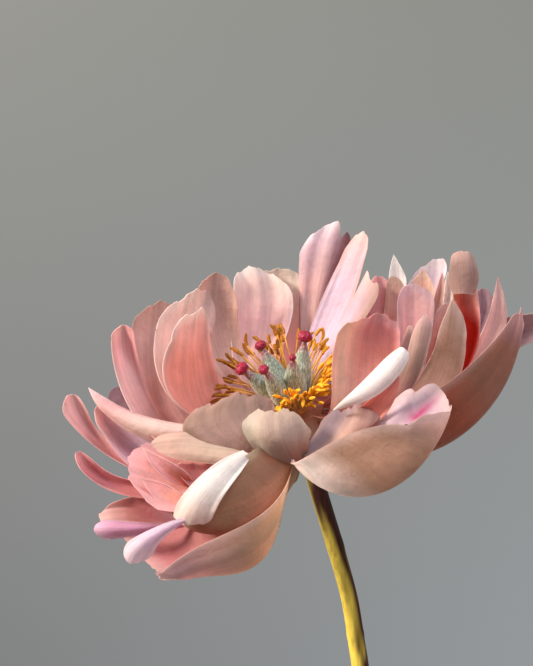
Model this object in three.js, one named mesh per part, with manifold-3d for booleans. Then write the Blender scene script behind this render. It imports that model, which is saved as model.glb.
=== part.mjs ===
// A semi-double coral peony in a plain bud vase. Millimetres, +Z up.
// The origin is the middle of the vase's flat foot, and the bloom looks towards -Y.
import * as THREE from "three";
import { mergeVertices } from "three/addons/utils/BufferGeometryUtils.js";
import Module from "manifold-3d";

const wasm = await Module();
wasm.setup();

// ---------------------------------------------------------------- driving dimensions
const JOIN_TOLERANCE = 0.02;
const GAP = 0.3;                                  // clearance between touching pieces

const VASE_HEIGHT = 164;
const VASE_FOOT_RADIUS = 30;
const VASE_BELLY_RADIUS = 42;
const VASE_NECK_RADIUS = 13.8;
const VASE_LIP_RADIUS = 15.5;
const VASE_WALL = 3.6;
const WATER_LEVEL = 122;                          // the surface is at the last wall point below

const STEM_RADIUS = 3.2;
const STEM_SIDES = 10;
const STEM_STEPS = 22;

const BLOOM_SEAT = new THREE.Vector3(-24.5, -25, 276);   // middle of the petal seat
const VIEW_TILT = THREE.MathUtils.degToRad(12);          // the bloom's frame leans back by this much
const VIEW_DISTANCE = 1000;                              // petals were judged by eye from here
const VIEW_CENTRE = new THREE.Vector3(-11.3, 0, 31.3);   // the line of sight meets the bloom here
const BLOOM_AXIS = new THREE.Vector3(-0.273, -0.469, 0.84).normalize();

const PETAL_THICKNESS = 0.8;
const PETAL_CELLS = [4, 5];                       // across and along, unless a petal says otherwise
const SEAT_RADIUS = 10;
const SEAT_BOTTOM = -3.7;
const SEAT_TOP = 4;
const PETAL_RINGS = {                             // radius and height of the roots on the seat
  guard: [8.5, -2.2],
  middle: [8, 0.2],
  inner: [7.4, 2.8],
};

const STAMEN_RING_RADIUS = 5.6;
const STAMEN_RING_BOTTOM = SEAT_TOP + GAP;
const STAMEN_RING_TOP = 6.4;
const STAMEN_COUNT = 52;
const FILAMENT_RADIUS = 0.35;
const ANTHER_RADIUS = 0.65;
const ANTHER_LENGTH = 5;

const CARPEL_BOTTOM = STAMEN_RING_TOP + GAP;
const CARPEL_RADIUS = 3.8;
const BEAK_RADIUS = 0.8;
const CARPEL_DISC_RADIUS = 4.6;
const CARPEL_DISC_HEIGHT = 2;
const CARPEL_ROOT = [2.3, CARPEL_BOTTOM + 1.3];   // radius and height, inside the disc

// ---------------------------------------------------------------- materials
const COLOURS = {
  ceramic: [0xf0ece2, 0.3],
  water: [0xdfe9e6, 0.05],
  stem: [0x8a8a3c, 0.55],
  petal: [0xe8938c, 0.6],
  stamen: [0xd9901c, 0.7],
  carpel: [0x8f9a80, 0.75],
  stigma: [0xb0144c, 0.5],
};

function material(name) {
  const [color, roughness] = COLOURS[name];
  return new THREE.MeshStandardMaterial({ color, roughness, metalness: 0 });
}

// ---------------------------------------------------------------- solids
// A geometry's positions alone, with shared corners merged, as one closed solid.
function toSolid(geometry) {
  const plain = geometry.clone();
  plain.deleteAttribute("normal");
  plain.deleteAttribute("uv");
  const merged = mergeVertices(plain, 1e-4);
  return new wasm.Manifold(new wasm.Mesh({
    numProp: 3,
    vertProperties: new Float32Array(merged.attributes.position.array),
    triVerts: new Uint32Array(merged.index.array),
  }));
}

function toGeometry(solid) {
  const mesh = solid.getMesh();
  const geometry = new THREE.BufferGeometry();
  geometry.setAttribute("position", new THREE.BufferAttribute(mesh.vertProperties, 3));
  geometry.setIndex(new THREE.BufferAttribute(mesh.triVerts, 1));
  geometry.computeVertexNormals();
  return geometry;
}

// One solid of many pieces, with corners closer than the tolerance merged.
function join(geometries) {
  return geometries.map(toSolid).reduce((whole, piece) => whole.add(piece)).simplify(JOIN_TOLERANCE);
}

// A lathe turned about +Z instead of +Y. The profile is [radius, height] pairs.
function turned(profile, sides) {
  const points = profile.map(([radius, height]) => new THREE.Vector2(radius, height));
  return new THREE.LatheGeometry(points, sides).rotateX(Math.PI / 2);
}

// The same lathe, stood on the bloom's axis.
function turnedOnAxis(profile, sides) {
  const turn = new THREE.Quaternion().setFromUnitVectors(new THREE.Vector3(0, 0, 1), BLOOM_AXIS);
  return turned(profile, sides).applyQuaternion(turn);
}

// A tube of round rings along a curve, closed at both ends. radiusAt takes 0..1 along it.
function tapered(curve, radiusAt, sides, steps) {
  const positions = [];
  const index = [];
  const frames = curve.computeFrenetFrames(steps, false);
  for (let i = 0; i <= steps; i++) {
    const centre = curve.getPointAt(i / steps);
    const radius = radiusAt(i / steps);
    for (let k = 0; k < sides; k++) {
      const angle = (2 * Math.PI * k) / sides;
      const corner = centre.clone()
        .addScaledVector(frames.normals[i], radius * Math.cos(angle))
        .addScaledVector(frames.binormals[i], radius * Math.sin(angle));
      positions.push(...corner);
    }
  }
  const corner = (i, k) => i * sides + (k % sides);
  for (let i = 0; i < steps; i++) {
    for (let k = 0; k < sides; k++) {
      index.push(corner(i, k), corner(i, k + 1), corner(i + 1, k + 1));
      index.push(corner(i, k), corner(i + 1, k + 1), corner(i + 1, k));
    }
  }
  for (let k = 1; k < sides - 1; k++) {
    index.push(corner(0, 0), corner(0, k + 1), corner(0, k));
    index.push(corner(steps, 0), corner(steps, k), corner(steps, k + 1));
  }
  const geometry = new THREE.BufferGeometry();
  geometry.setAttribute("position", new THREE.Float32BufferAttribute(positions, 3));
  geometry.setIndex(index);
  return geometry;
}

// ---------------------------------------------------------------- the bloom's frame
// Right and back of the bloom's axis. An azimuth turns from right (0) through back (90).
const ACROSS = new THREE.Vector3(1, 0, 0).addScaledVector(BLOOM_AXIS, -BLOOM_AXIS.x).normalize();
const BACK = new THREE.Vector3().crossVectors(BLOOM_AXIS, ACROSS);

function onAxis(azimuth, radius, height) {
  const angle = THREE.MathUtils.degToRad(azimuth);
  return BLOOM_AXIS.clone().multiplyScalar(height)
    .addScaledVector(ACROSS, radius * Math.cos(angle))
    .addScaledVector(BACK, radius * Math.sin(angle));
}

// A point judged from the front: across, depth and up. Depth moves it along the line of sight.
function seen([across, depth, up]) {
  const spread = depth / VIEW_DISTANCE;
  return new THREE.Vector3(
    across + (across - VIEW_CENTRE.x) * spread,
    depth,
    up + (up - VIEW_CENTRE.z) * spread,
  );
}

// ---------------------------------------------------------------- petals
// Each row: name, ring of its root ("free" for a margin rolled off another petal), azimuth of the
// root (or the root's own point), one to three ribs (left, middle, right), tip, and what shapes it.
// A single rib stands at the shoulder, where the sides turn into the rounded end.
const PETALS = [
  // low at the front and left
  ["front_left_guard", "guard", 250, [[[-20, -22, -27], [-9, -31, -42], [-8, -46, -29]],
    [[-44, -20, -36], [-22, -40, -55], [-26, -52, -41]],
    [[-63, -18, -41], [-40, -40, -57.5], [-47, -50, -54.5]]], [-53, -47, -57],
    { "claw": 0.04, "point": 0.5, "taper": 0.4, "cells": [4, 7] }],
  ["front_trough", "guard", 246, [[[-25, -14, -9], [-12, -32, -34], [-14, -36.5, -9.5]],
    [[-44, -24, -26], [-32, -36, -41], [-33, -40.3, -20.5]]], [-43, -36, -35],
    { "claw": 0.02, "cells": [4, 6] }],
  ["front_trough_flap", "free", [-18.5, -38.2, -12], [
    [[-30.6, -40.6, -17], [-27.5, -43, -19.5], [-22.5, -42, -21]],
    [[-43.5, -40, -30.5], [-38, -44, -32.5], [-30, -44, -33.5]]], [-39.5, -41, -37.5],
    { "claw": 0.4, "taper": -0.3 }],
  ["left_bowl", "middle", 215, [[[-34, -14, -14], [-38, -24, -24], [-30, -36, -33]],
    [[-54, -14, -8], [-56, -22, -20], [-50, -36, -32]]], [-61, -22, -18], { "cells": [4, 6] }],
  ["rosette_upper", "free", [-38, -24, -24], [[[-42, -30, -17], [-46, -28, -19], [-48, -30, -21]]],
    [-56, -26, -10], { "point": 0.6, "cells": [3, 4] }],
  ["rosette_lower", "free", [-40, -34, -31], [[[-46, -31, -24], [-48, -30, -26], [-50, -31, -30]]],
    [-57, -28, -21], { "point": 0.6, "cells": [3, 4] }],
  ["rosette_right", "free", [-34, -27, -28], [[[-44, -27, -18], [-36, -26, -20], [-28, -27, -18]]],
    [-38, -27, -15.5], { "cells": [3, 4] }],
  ["left_tongue", "inner", 208, [[[-20, -20, -4], [-19, -30, -9.5], [-15, -34, -17]],
    [[-42, -22, -1], [-43, -27, -6], [-40, -29, -15]]], [-53, -24, -7], { "claw": 0.4 }],
  ["front_left_fan", "inner", 235, [[[-33, -27, -11], [-20, -32, -8], [-7, -28, -1]],
    [[-42, -24, -3.5], [-27, -29, 0], [-8, -24, 4.5]]], [-24, -25, 9], {}],
  ["front_flap", "inner", 280, [[[-13, -32, -12.5], [-4, -35, -14], [3, -31, -11]],
    [[-19.5, -36, -4], [-8, -42, -6], [4.5, -35, -4.5]]], [-8, -34, 3], {}],
  ["front_right_lip", "inner", 300, [[[2, -27, -9], [9, -34, -11], [18, -31, -8]],
    [[8, -26, -0.5], [18, -32, -2.5], [31, -27, 1]]], [20, -28, 5.2], { "cells": [3, 4] }],
  ["front_right_bowl", "guard", 300, [[[12, -16, -13], [4, -34, -20], [-0.3, -42, -15]],
    [[31, -24, 4.5], [23, -43, -27.5], [14, -49, -7.2]],
    [[42, -28, 10], [42, -43, -19], [40, -49, -1.8]]], [54.5, -38, 5],
    { "claw": 0.06, "taper": 0.7, "cells": [5, 7] }],

  // right
  ["right_guard", "guard", 350, [[[52, 16, 10], [51, -10, -10], [50.5, -22, 11]],
    [[76.5, 4, 35], [74.5, -6, 15], [70.5, -16, 33.5]]], [78.3, -4, 40],
    { "point": 0.7, "taper": 0.2, "cells": [5, 6] }],
  ["right_inner_wall", "middle", 345, [[[40, -8, 10], [46, -8, 8], [54, -4, 8]],
    [[49, -6, 26], [54, -3, 28], [60.5, -1, 28]]], [55.5, -2, 43], { "point": 0.3 }],
  ["right_tall", "middle", 10, [[[57, 0, 28], [60, 5, 26], [65, 2, 30]],
    [[56, 2, 46], [60, 6, 46], [64.5, 4, 44]]], [59.5, 4, 60.5], { "cells": [4, 6] }],
  ["right_tall_tip", "free", [60, 6, 46], [[[55.6, 0, 56], [59.5, -1, 57], [64, 1, 56]]], [60, 2, 60.8],
    { "cells": [4, 4] }],
  ["right_back_dark", "guard", 20, [[[63, 16, 40], [66, 18, 38], [70, 15, 40]]], [66.5, 16, 47.5],
    { "cells": [3, 4] }],
  ["right_spike", "guard", 12, [[[62, 8, 24], [66, 10, 22], [72, 8, 24]],
    [[69, 9, 38], [71.5, 11, 38], [75, 9, 38]]], [72, 9, 52], { "point": 0.9, "cells": [3, 4] }],
  ["right_lobed", "guard", 35, [[[39, 22, 46], [46, 24, 44], [53, 20, 52]]], [48, 22, 57], {}],
  ["right_round", "inner", 10, [[[35.5, -6, 25], [40, -4, 24], [46, -5, 24]],
    [[36, -5, 41], [42, -3, 40], [49, -5, 41]]], [42, -5, 49], {}],
  ["right_peach", "middle", 42, [[[41, 15, 48], [45, 16, 47], [49, 15, 46]]], [45, 15, 54],
    { "point": 0.4, "cells": [3, 4] }],
  ["right_coral_strip", "middle", 36, [[[49.5, 11, 45], [51, 12, 45], [53, 11, 45]]], [52, 11, 53],
    { "point": 0.5, "cells": [3, 4] }],
  ["right_white_strip", "middle", 30, [[[53, 8, 46], [54.5, 9, 46], [56.5, 8, 46]]], [54, 8, 53.5],
    { "point": 0.5, "cells": [3, 4] }],
  ["right_curl", "inner", 352, [[[46.5, -3, 24], [49, 0, 25], [52, 0, 26]],
    [[49, -3, 37], [52, 0, 38], [55, -1, 39]]], [53.5, -1, 42.5], { "cells": [3, 4] }],
  ["right_narrow", "inner", 345, [[[36, -22, 14], [39, -23, 12], [43, -21, 15]],
    [[41, -18, 29], [44, -20, 28], [47.8, -17, 30]]], [46, -16, 38.5], { "point": 0.3, "cells": [3, 4] }],
  ["right_narrow_back", "inner", 345, [[[36.5, -10, 26], [38.5, -12, 26], [41, -12, 28]]], [40, -10, 34],
    { "cells": [3, 4] }],
  ["white_lens", "free", [13, -30, 3.5], [[[19, -34, 10], [22, -35.5, 8.5], [24, -34, 6.5]],
    [[31.5, -31.5, 24.5], [34.5, -34.5, 21], [38, -32.5, 16.5]]], [39.3, -30, 24], { "cells": [3, 4] }],
  ["lens_under", "middle", 325, [[[30, -33.2, 12], [31, -30, 8], [32, -28, 2.5]]], [37.3, -33, 17.3],
    { "cells": [3, 4] }],
  ["right_inner_cup", "inner", 330, [[[12, -24, 8], [22, -21, 6], [33, -19, 9]],
    [[13.5, -20, 29], [25, -14, 28], [37, -13, 30]]], [28, -14, 38], { "cells": [4, 6] }],

  // back
  ["back_right_a", "middle", 40, [[[25.5, 8, 45], [29, 10, 44], [34, 8, 44]]], [29, 8, 52],
    { "cells": [3, 4] }],
  ["back_right_b", "middle", 35, [[[32, 6, 46], [35, 7, 45], [38.5, 6, 46]]], [34.5, 6, 51.7],
    { "cells": [3, 4] }],
  ["back_right_spike", "guard", 45, [[[33, 14, 52], [35.5, 15, 50], [39, 14, 50]]], [34.5, 14, 59.8],
    { "point": 0.7, "cells": [3, 4] }],
  ["back_right_low", "inner", 50, [[[17, 16, 33], [21, 17, 33], [24, 16, 36]]], [22, 16, 39],
    { "cells": [3, 4] }],
  ["back_tall_left", "inner", 85, [[[0.5, 28, 40], [4, 26, 40], [8, 28, 40]],
    [[0.5, 28, 60], [8, 26, 62], [17.5, 28, 63]]], [12, 26, 71],
    { "notches": [[-0.3, 0.06, 0.12]], "cells": [4, 6] }],
  ["back_tall_right", "inner", 68, [[[8, 20, 42], [13, 18, 36], [20, 12, 32]],
    [[12.5, 20, 60], [18, 17, 54], [29, 11, 40.5]]], [22.5, 15, 66],
    { "notches": [[0.4, 0.28, 0.2]], "cells": [4, 6] }],
  ["back_left_wide", "inner", 120, [[[-27, 16, 27], [-15, 20, 27], [-5, 18, 28]],
    [[-23, 22, 49], [-12, 26, 46], [-2, 24, 44]]], [-14, 27, 54.5], { "cells": [4, 6] }],
  ["back_left_lobe", "inner", 135, [[[-31, 12, 22], [-26, 16, 22], [-20, 16, 24]],
    [[-37, 12, 42], [-30, 17, 42], [-22, 14, 40]]], [-29, 14, 52.5], {}],
  ["back_pale", "middle", 100, [[[-14, 28, 50], [-6, 31, 44], [1, 28, 50]]], [-7, 28, 53.8], {}],
  ["back_centre", "middle", 90, [[[-6, 26, 36], [-2, 27, 34], [3, 26, 40]]], [-1, 26, 45],
    { "cells": [3, 4] }],
  ["hidden_back", "guard", 100, [[[-26, 32, 16], [-6, 36, 8], [14, 32, 14]],
    [[-34, 48, 28], [-8, 58, 24], [18, 48, 28]]], [-8, 64, 36], { "cells": [4, 4] }],
  ["hidden_back_right", "guard", 62, [[[6, 28, 12], [24, 30, 4], [38, 18, 8]],
    [[14, 46, 30], [34, 50, 18], [52, 30, 24]]], [38, 54, 32], { "cells": [3, 4] }],
  ["hidden_back_left", "guard", 145, [[[-40, 14, 6], [-28, 26, 2], [-14, 32, 10]],
    [[-54, 22, 22], [-44, 38, 18], [-26, 48, 28]]], [-48, 42, 32], { "cells": [3, 4] }],

  // left
  ["left_inner_cup", "inner", 188, [[[-45, -16, 8], [-34, -4, 4], [-26, 4, 9]],
    [[-44.8, -18, 28], [-38, -6, 28], [-31.5, -2, 31]]], [-36, -12, 39], { "cells": [4, 6] }],
  ["left_second_cup", "middle", 178, [[[-48, -8, 12], [-40, 1, 8], [-32, 6, 14]],
    [[-51, -5, 28], [-42, 3, 26], [-30, 4, 36]]], [-38, -1, 45.5], { "cells": [4, 6] }],
  ["left_third_cup", "guard", 168, [[[-57, 5, 12], [-50, 9, 8], [-42, 11, 12]],
    [[-60, 9, 30], [-52, 13, 28], [-44, 13, 34]]], [-51, 11, 42], {}],
  ["left_channel", "guard", 180, [[[-62, -8, 8], [-58, 0, 10], [-53, 0, 8]],
    [[-67, -4, 29.5], [-63, 0, 30], [-59.3, -4, 30.5]]], [-63, -2, 33.8], {}],
  ["left_dark", "guard", 160, [[[-67, 16, 6], [-62, 17, 7], [-60, 16, 9]]], [-66, 16, 11.5],
    { "cells": [3, 4] }],
  ["left_pointed", "middle", 203, [[[-50, -10, 0], [-52, -14, -3], [-55, -11, -7]],
    [[-65, -7, 5.5], [-66.5, -11, 3], [-69, -9, 1.5]]], [-75.5, -7, 11.8],
    { "point": 0.4, "cells": [3, 4] }],
  ["left_folded", "guard", 198, [[[-57, -6, -6], [-58, -2, -12], [-60, -10, -17]],
    [[-68, -6, 1.5], [-68, -2, -3], [-70, -8, -5]]], [-73, -6, 4], { "cells": [3, 4] }],
  ["left_spoon", "guard", 188, [[[-69.7, 4, -6.7], [-71, 6, -8.5], [-73, 1, -9.5]],
    [[-75.8, 4, 2.2], [-79, 6.5, 2.5], [-84, 1, 1.5]]], [-81.2, 4, 9.3], { "cells": [3, 4] }],
  ["left_low_horn", "guard", 208, [[[-60, -8, -22], [-61, -6, -24.5], [-62, -12, -27]],
    [[-72, -8, -16.5], [-74, -6, -19], [-76, -12, -20]]], [-79.5, -8, -11.5], { "cells": [3, 4] }],
  ["low_left_fan", "guard", 220, [[[-54, -12, -29], [-52, -12, -35], [-50, -20, -38]],
    [[-64, -14, -30], [-66, -14, -33], [-68, -22, -36.5]]], [-71.5, -16, -34.5], {}],
  ["low_left_lilac", "guard", 230, [[[-52, -28, -37.5], [-54, -31, -39], [-54, -29, -41]],
    [[-68, -28, -36.5], [-69, -32, -39.5], [-68, -29, -43]]], [-73.5, -30, -39.5], { "cells": [3, 4] }],
  ["low_left_spoon", "free", [-38.8, -41.5, -35.6], [
    [[-50, -44, -38.3], [-49.5, -46, -40.2], [-48, -44, -41.5]],
    [[-60.8, -43, -43.8], [-57.5, -47, -46], [-52.3, -43, -48]]], [-60.5, -43, -51.2],
    { "cells": [3, 4] }],
  ["right_edge", "guard", 28, [[[50, 38, 30], [52, 42, 22], [56, 36, 14]],
    [[82, 27, 37.5], [85, 32, 32], [82, 27, 27.5]]], [93, 26, 34], { "cells": [3, 5] }],
];

const SIDE_SHARE = 0.8;          // how wide a petal with one rib is halfway to it
const ROUND_END = 0.9995;        // keeps the rounded end's slope finite at the sides
const POINT_POWER = 1.15;        // just over 1, so a pointed end has faintly bowed sides

// The smooth curve that takes the given values at the given places.
function through(places, values, at) {
  const sum = new THREE.Vector3();
  values.forEach((value, i) => {
    let weight = 1;
    places.forEach((place, j) => {
      if (j !== i) weight *= (at - place) / (places[i] - place);
    });
    sum.addScaledVector(value, weight);
  });
  return sum;
}

// Ribs as their middle point and the steps from it to either side.
function spread(ribs, root, tip) {
  const sides = ribs.map((rib) => {
    const [left, middle, right] = rib;
    return { middle, left: left.clone().sub(middle), right: right.clone().sub(middle) };
  });
  if (sides.length > 1) return sides;
  const [last] = sides;
  const before = last.middle.distanceTo(root);
  const share = before / (before + last.middle.distanceTo(tip));
  const halfway = {
    middle: through([0, share, 1], [root, last.middle, tip], share / 2),
    left: last.left.clone().multiplyScalar(SIDE_SHARE),
    right: last.right.clone().multiplyScalar(SIDE_SHARE),
  };
  return [halfway, last];
}

// A petal's middle surface as a function of across (-1 to 1) and along (0 to 1).
function petalSurface(root, ribs, tip, shape) {
  const { claw = 0.12, point = 0, taper = 0.15, notches = [] } = shape;
  const sides = spread(ribs, root, tip);
  const middles = [root, ...sides.map((rib) => rib.middle), tip];
  const places = [0];
  for (let i = 1; i < middles.length; i++) {
    places.push(places[i - 1] + middles[i].distanceTo(middles[i - 1]));
  }
  places.forEach((place, i) => { places[i] = place / places.at(-1); });
  const shoulder = places.at(-2);
  const roundness = 1 - shoulder;
  const fromClaw = (steps) => [steps[0].clone().multiplyScalar(claw), ...steps];
  const lefts = fromClaw(sides.map((rib) => rib.left));
  const rights = fromClaw(sides.map((rib) => rib.right));

  return (across, along) => {
    const round = 1 - Math.sqrt(1 - Math.min(across ** 2, ROUND_END));
    const pointed = Math.abs(across) ** POINT_POWER;
    let end = 1 - roundness * ((1 - point) * round + point * pointed);
    for (const [place, depth, width] of notches) {
      end -= depth * Math.exp(-(((across - place) / width) ** 2));
    }
    const at = along * end;
    const beyond = Math.max(0, (at - shoulder) / roundness);
    const width = 1 - taper * beyond ** 2;
    const sideAt = Math.min(at, shoulder);
    const left = through(places.slice(0, -1), lefts, sideAt).multiplyScalar(width);
    const right = through(places.slice(0, -1), rights, sideAt).multiplyScalar(width);
    return through(places, middles, at)
      .addScaledVector(right, (across + across ** 2) / 2)
      .addScaledVector(left, (across ** 2 - across) / 2);
  };
}

// A blade of even thickness around a surface, cut into the same triangles on both faces.
function blade(surface, [acrossCells, alongCells]) {
  const rows = acrossCells + 1;
  const columns = alongCells + 1;
  const grid = [];
  for (let i = 0; i < rows; i++) {
    const across = Math.sin((Math.PI / 2) * ((2 * i) / acrossCells - 1));
    for (let j = 0; j < columns; j++) grid.push(surface(across, j / alongCells));
  }
  const at = (i, j) => i * columns + j;
  const positions = [];
  for (const side of [1, -1]) {
    for (let i = 0; i < rows; i++) {
      for (let j = 0; j < columns; j++) {
        const acrossFrom = grid[at(Math.max(i - 1, 0), j)];
        const acrossTo = grid[at(Math.min(i + 1, rows - 1), j)];
        const alongFrom = grid[at(i, Math.max(j - 1, 0))];
        const alongTo = grid[at(i, Math.min(j + 1, columns - 1))];
        const normal = acrossTo.clone().sub(acrossFrom).cross(alongTo.clone().sub(alongFrom)).normalize();
        positions.push(...grid[at(i, j)].clone().addScaledVector(normal, (side * PETAL_THICKNESS) / 2));
      }
    }
  }
  const under = rows * columns;
  const index = [];
  for (let i = 0; i < acrossCells; i++) {
    for (let j = 0; j < alongCells; j++) {
      const [a, b, c, d] = [at(i, j), at(i + 1, j), at(i + 1, j + 1), at(i, j + 1)];
      index.push(a, b, c, a, c, d);
      index.push(under + a, under + c, under + b, under + a, under + d, under + c);
    }
  }
  const rim = [];
  for (let j = 0; j < alongCells; j++) rim.push(at(0, j));
  for (let i = 0; i < acrossCells; i++) rim.push(at(i, alongCells));
  for (let j = alongCells; j > 0; j--) rim.push(at(acrossCells, j));
  for (let i = acrossCells; i > 0; i--) rim.push(at(i, 0));
  rim.forEach((from, k) => {
    const to = rim[(k + 1) % rim.length];
    index.push(from, to, under + to, from, under + to, under + from);
  });
  const geometry = new THREE.BufferGeometry();
  geometry.setAttribute("position", new THREE.Float32BufferAttribute(positions, 3));
  geometry.setIndex(index);
  return geometry;
}

// The largest of a solid's separate bodies: blades that twist at their roots leave specks.
function largestBody(solid) {
  return solid.decompose().reduce((best, body) => (body.volume() > best.volume() ? body : best));
}

function makePetals() {
  const blades = PETALS.map(([, ring, azimuth, ribs, tip, shape]) => {
    const root = ring === "free" ? seen(azimuth) : onAxis(azimuth, ...PETAL_RINGS[ring]);
    const surface = petalSurface(root, ribs.map((rib) => rib.map(seen)), seen(tip), shape);
    return blade(surface, shape.cells ?? PETAL_CELLS);
  });
  const seat = turnedOnAxis([
    [0, SEAT_BOTTOM],
    [SEAT_RADIUS, SEAT_BOTTOM],
    [SEAT_RADIUS, SEAT_TOP],
    [0, SEAT_TOP],
  ], 20);
  return largestBody(join([seat, ...blades]));
}

// ---------------------------------------------------------------- carpels and stigmas
// Five flasks on one disc, each with a stigma on its beak: azimuth, radius and height of the
// beak's end, and the stigma's radius.
const CARPELS = [
  [195, 12.4, 26, 2.6],
  [130, 8, 28, 2.2],
  [240, 9, 26.5, 2],
  [315, 8, 27.5, 1.4],
  [30, 11.5, 27, 2.7],
];

const STIGMA_SQUASH = 0.8;

function carpelCurve([azimuth, radius, height]) {
  return new THREE.QuadraticBezierCurve3(
    onAxis(azimuth, ...CARPEL_ROOT),
    onAxis(azimuth, 0.55 * radius, 0.6 * height),
    onAxis(azimuth, radius, height),
  );
}

// A flask: full low down, narrowing to a beak.
const BELLY_START = 0.12;
const BELLY_POWER = 0.9;

function carpelRadius(along) {
  const belly = Math.sin(Math.PI * (BELLY_START + (1 - BELLY_START) * along) ** BELLY_POWER);
  return BEAK_RADIUS + (CARPEL_RADIUS - BEAK_RADIUS) * Math.max(0, belly);
}

function makeCarpels() {
  const disc = turnedOnAxis([
    [0, CARPEL_BOTTOM],
    [CARPEL_DISC_RADIUS, CARPEL_BOTTOM],
    [CARPEL_DISC_RADIUS, CARPEL_BOTTOM + CARPEL_DISC_HEIGHT],
    [0, CARPEL_BOTTOM + CARPEL_DISC_HEIGHT],
  ], 12);
  return join([disc, ...CARPELS.map((carpel) => tapered(carpelCurve(carpel), carpelRadius, 8, 6))]);
}

// A stigma is a squashed ball that sits just clear of the beak's end.
function makeStigma(carpel) {
  const curve = carpelCurve(carpel);
  const [, , , radius] = carpel;
  const direction = curve.getTangentAt(1);
  const ball = new THREE.SphereGeometry(radius, 8, 6).scale(1, STIGMA_SQUASH, 1);
  ball.applyQuaternion(new THREE.Quaternion().setFromUnitVectors(new THREE.Vector3(0, 1, 0), direction));
  const centre = curve.getPointAt(1).addScaledVector(direction, STIGMA_SQUASH * radius + GAP);
  return toSolid(ball.translate(...centre));
}

// ---------------------------------------------------------------- stamens
// A ring of filaments, each ending in an anther. The golden angle spreads them round the ring.
// Leans and lengths vary by two steps that never repeat; the ones at the back left are longest.
const GOLDEN_ANGLE = 137.508;
const LEAN_WISHES = [16, 46];                     // least, and how much more at most
const LEAN_VARIES = 0.7549;
const LEAN_LIMITS = [4, 72];
const LEAN_STEP = 6;
const LEAN_ATTEMPTS = 24;
const LENGTH = 16;
const LENGTH_RANGE = 7;
const LENGTH_VARIES = 0.5698;
const LONGER_BY = 3.5;
const LONGEST_AZIMUTH = 120;

function stamenCurve(azimuth, lean, length) {
  const start = onAxis(azimuth, STAMEN_RING_RADIUS - 0.9, STAMEN_RING_TOP - 0.7);
  const outward = onAxis(azimuth, 1, 0);
  const heading = (degrees) => {
    const angle = THREE.MathUtils.degToRad(degrees);
    return BLOOM_AXIS.clone().multiplyScalar(Math.cos(angle)).addScaledVector(outward, Math.sin(angle));
  };
  const bend = start.clone().addScaledVector(heading(0.7 * lean), 0.5 * length);
  const end = bend.clone().addScaledVector(heading(1.25 * lean), 0.5 * length);
  return new THREE.QuadraticBezierCurve3(start, bend, end);
}

// The radius along a stamen: an even filament, then a spindle for the anther.
function stamenRadius(length) {
  const antherFrom = 1 - ANTHER_LENGTH / length;
  return (along) => {
    if (along <= antherFrom) return FILAMENT_RADIUS;
    const within = (along - antherFrom) / (1 - antherFrom);
    return FILAMENT_RADIUS + (ANTHER_RADIUS - FILAMENT_RADIUS) * Math.sin(Math.PI * within);
  };
}

// Each stamen is leaned in small steps, first one way and then the other, until it clears the rest.
function makeStamens(obstacles) {
  const pieces = [];
  for (let i = 0; i < STAMEN_COUNT; i++) {
    const azimuth = (i * GOLDEN_ANGLE) % 360;
    const wish = LEAN_WISHES[0] + LEAN_WISHES[1] * ((i * LEAN_VARIES) % 1);
    const towardsBackLeft = Math.cos(THREE.MathUtils.degToRad(azimuth - LONGEST_AZIMUTH));
    const length = LENGTH + LONGER_BY * towardsBackLeft + LENGTH_RANGE * ((i * LENGTH_VARIES) % 1);
    for (let attempt = 0; attempt < LEAN_ATTEMPTS; attempt++) {
      const side = attempt % 2 === 0 ? -1 : 1;
      const lean = wish + side * LEAN_STEP * Math.ceil(attempt / 2);
      if (lean < LEAN_LIMITS[0] || lean > LEAN_LIMITS[1]) continue;
      const curve = stamenCurve(azimuth, lean, length);
      const radius = stamenRadius(length);
      const hull = toSolid(tapered(curve, (along) => radius(along) + GAP, 6, 7));
      if (hull.intersect(obstacles).isEmpty()) {
        pieces.push(tapered(curve, radius, 3, 5));
        break;
      }
    }
  }
  const ring = turnedOnAxis([
    [0, STAMEN_RING_BOTTOM],
    [STAMEN_RING_RADIUS, STAMEN_RING_BOTTOM],
    [STAMEN_RING_RADIUS, STAMEN_RING_TOP],
    [0, STAMEN_RING_TOP],
  ], 20);
  return join([ring, ...pieces]);
}

// ---------------------------------------------------------------- vase and water
const VASE_SIDE = new THREE.SplineCurve([
  new THREE.Vector2(VASE_FOOT_RADIUS, 0),
  new THREE.Vector2(0.93 * VASE_BELLY_RADIUS, 0.12 * VASE_HEIGHT),
  new THREE.Vector2(VASE_BELLY_RADIUS, 0.3 * VASE_HEIGHT),
  new THREE.Vector2(0.76 * VASE_BELLY_RADIUS, 0.52 * VASE_HEIGHT),
  new THREE.Vector2(1.2 * VASE_NECK_RADIUS, 0.7 * VASE_HEIGHT),
  new THREE.Vector2(VASE_NECK_RADIUS, 0.86 * VASE_HEIGHT),
  new THREE.Vector2(VASE_LIP_RADIUS, VASE_HEIGHT),
]);
const VASE_SIDES = 22;
const VASE_STEPS = 12;

function innerWall(clearance, from, to) {
  return VASE_SIDE.getPoints(VASE_STEPS)
    .filter((point) => point.y > from && point.y < to)
    .map((point) => [point.x - VASE_WALL - clearance, point.y]);
}

function makeVase() {
  const outside = VASE_SIDE.getPoints(VASE_STEPS).map((point) => [point.x, point.y]);
  const inside = innerWall(0, 2 * VASE_WALL, VASE_HEIGHT).reverse();
  return toSolid(turned([
    [0, 0],
    ...outside,
    [VASE_LIP_RADIUS - VASE_WALL, VASE_HEIGHT],
    ...inside,
    [VASE_FOOT_RADIUS - VASE_WALL, VASE_WALL],
    [0, VASE_WALL],
  ], VASE_SIDES));
}

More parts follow.
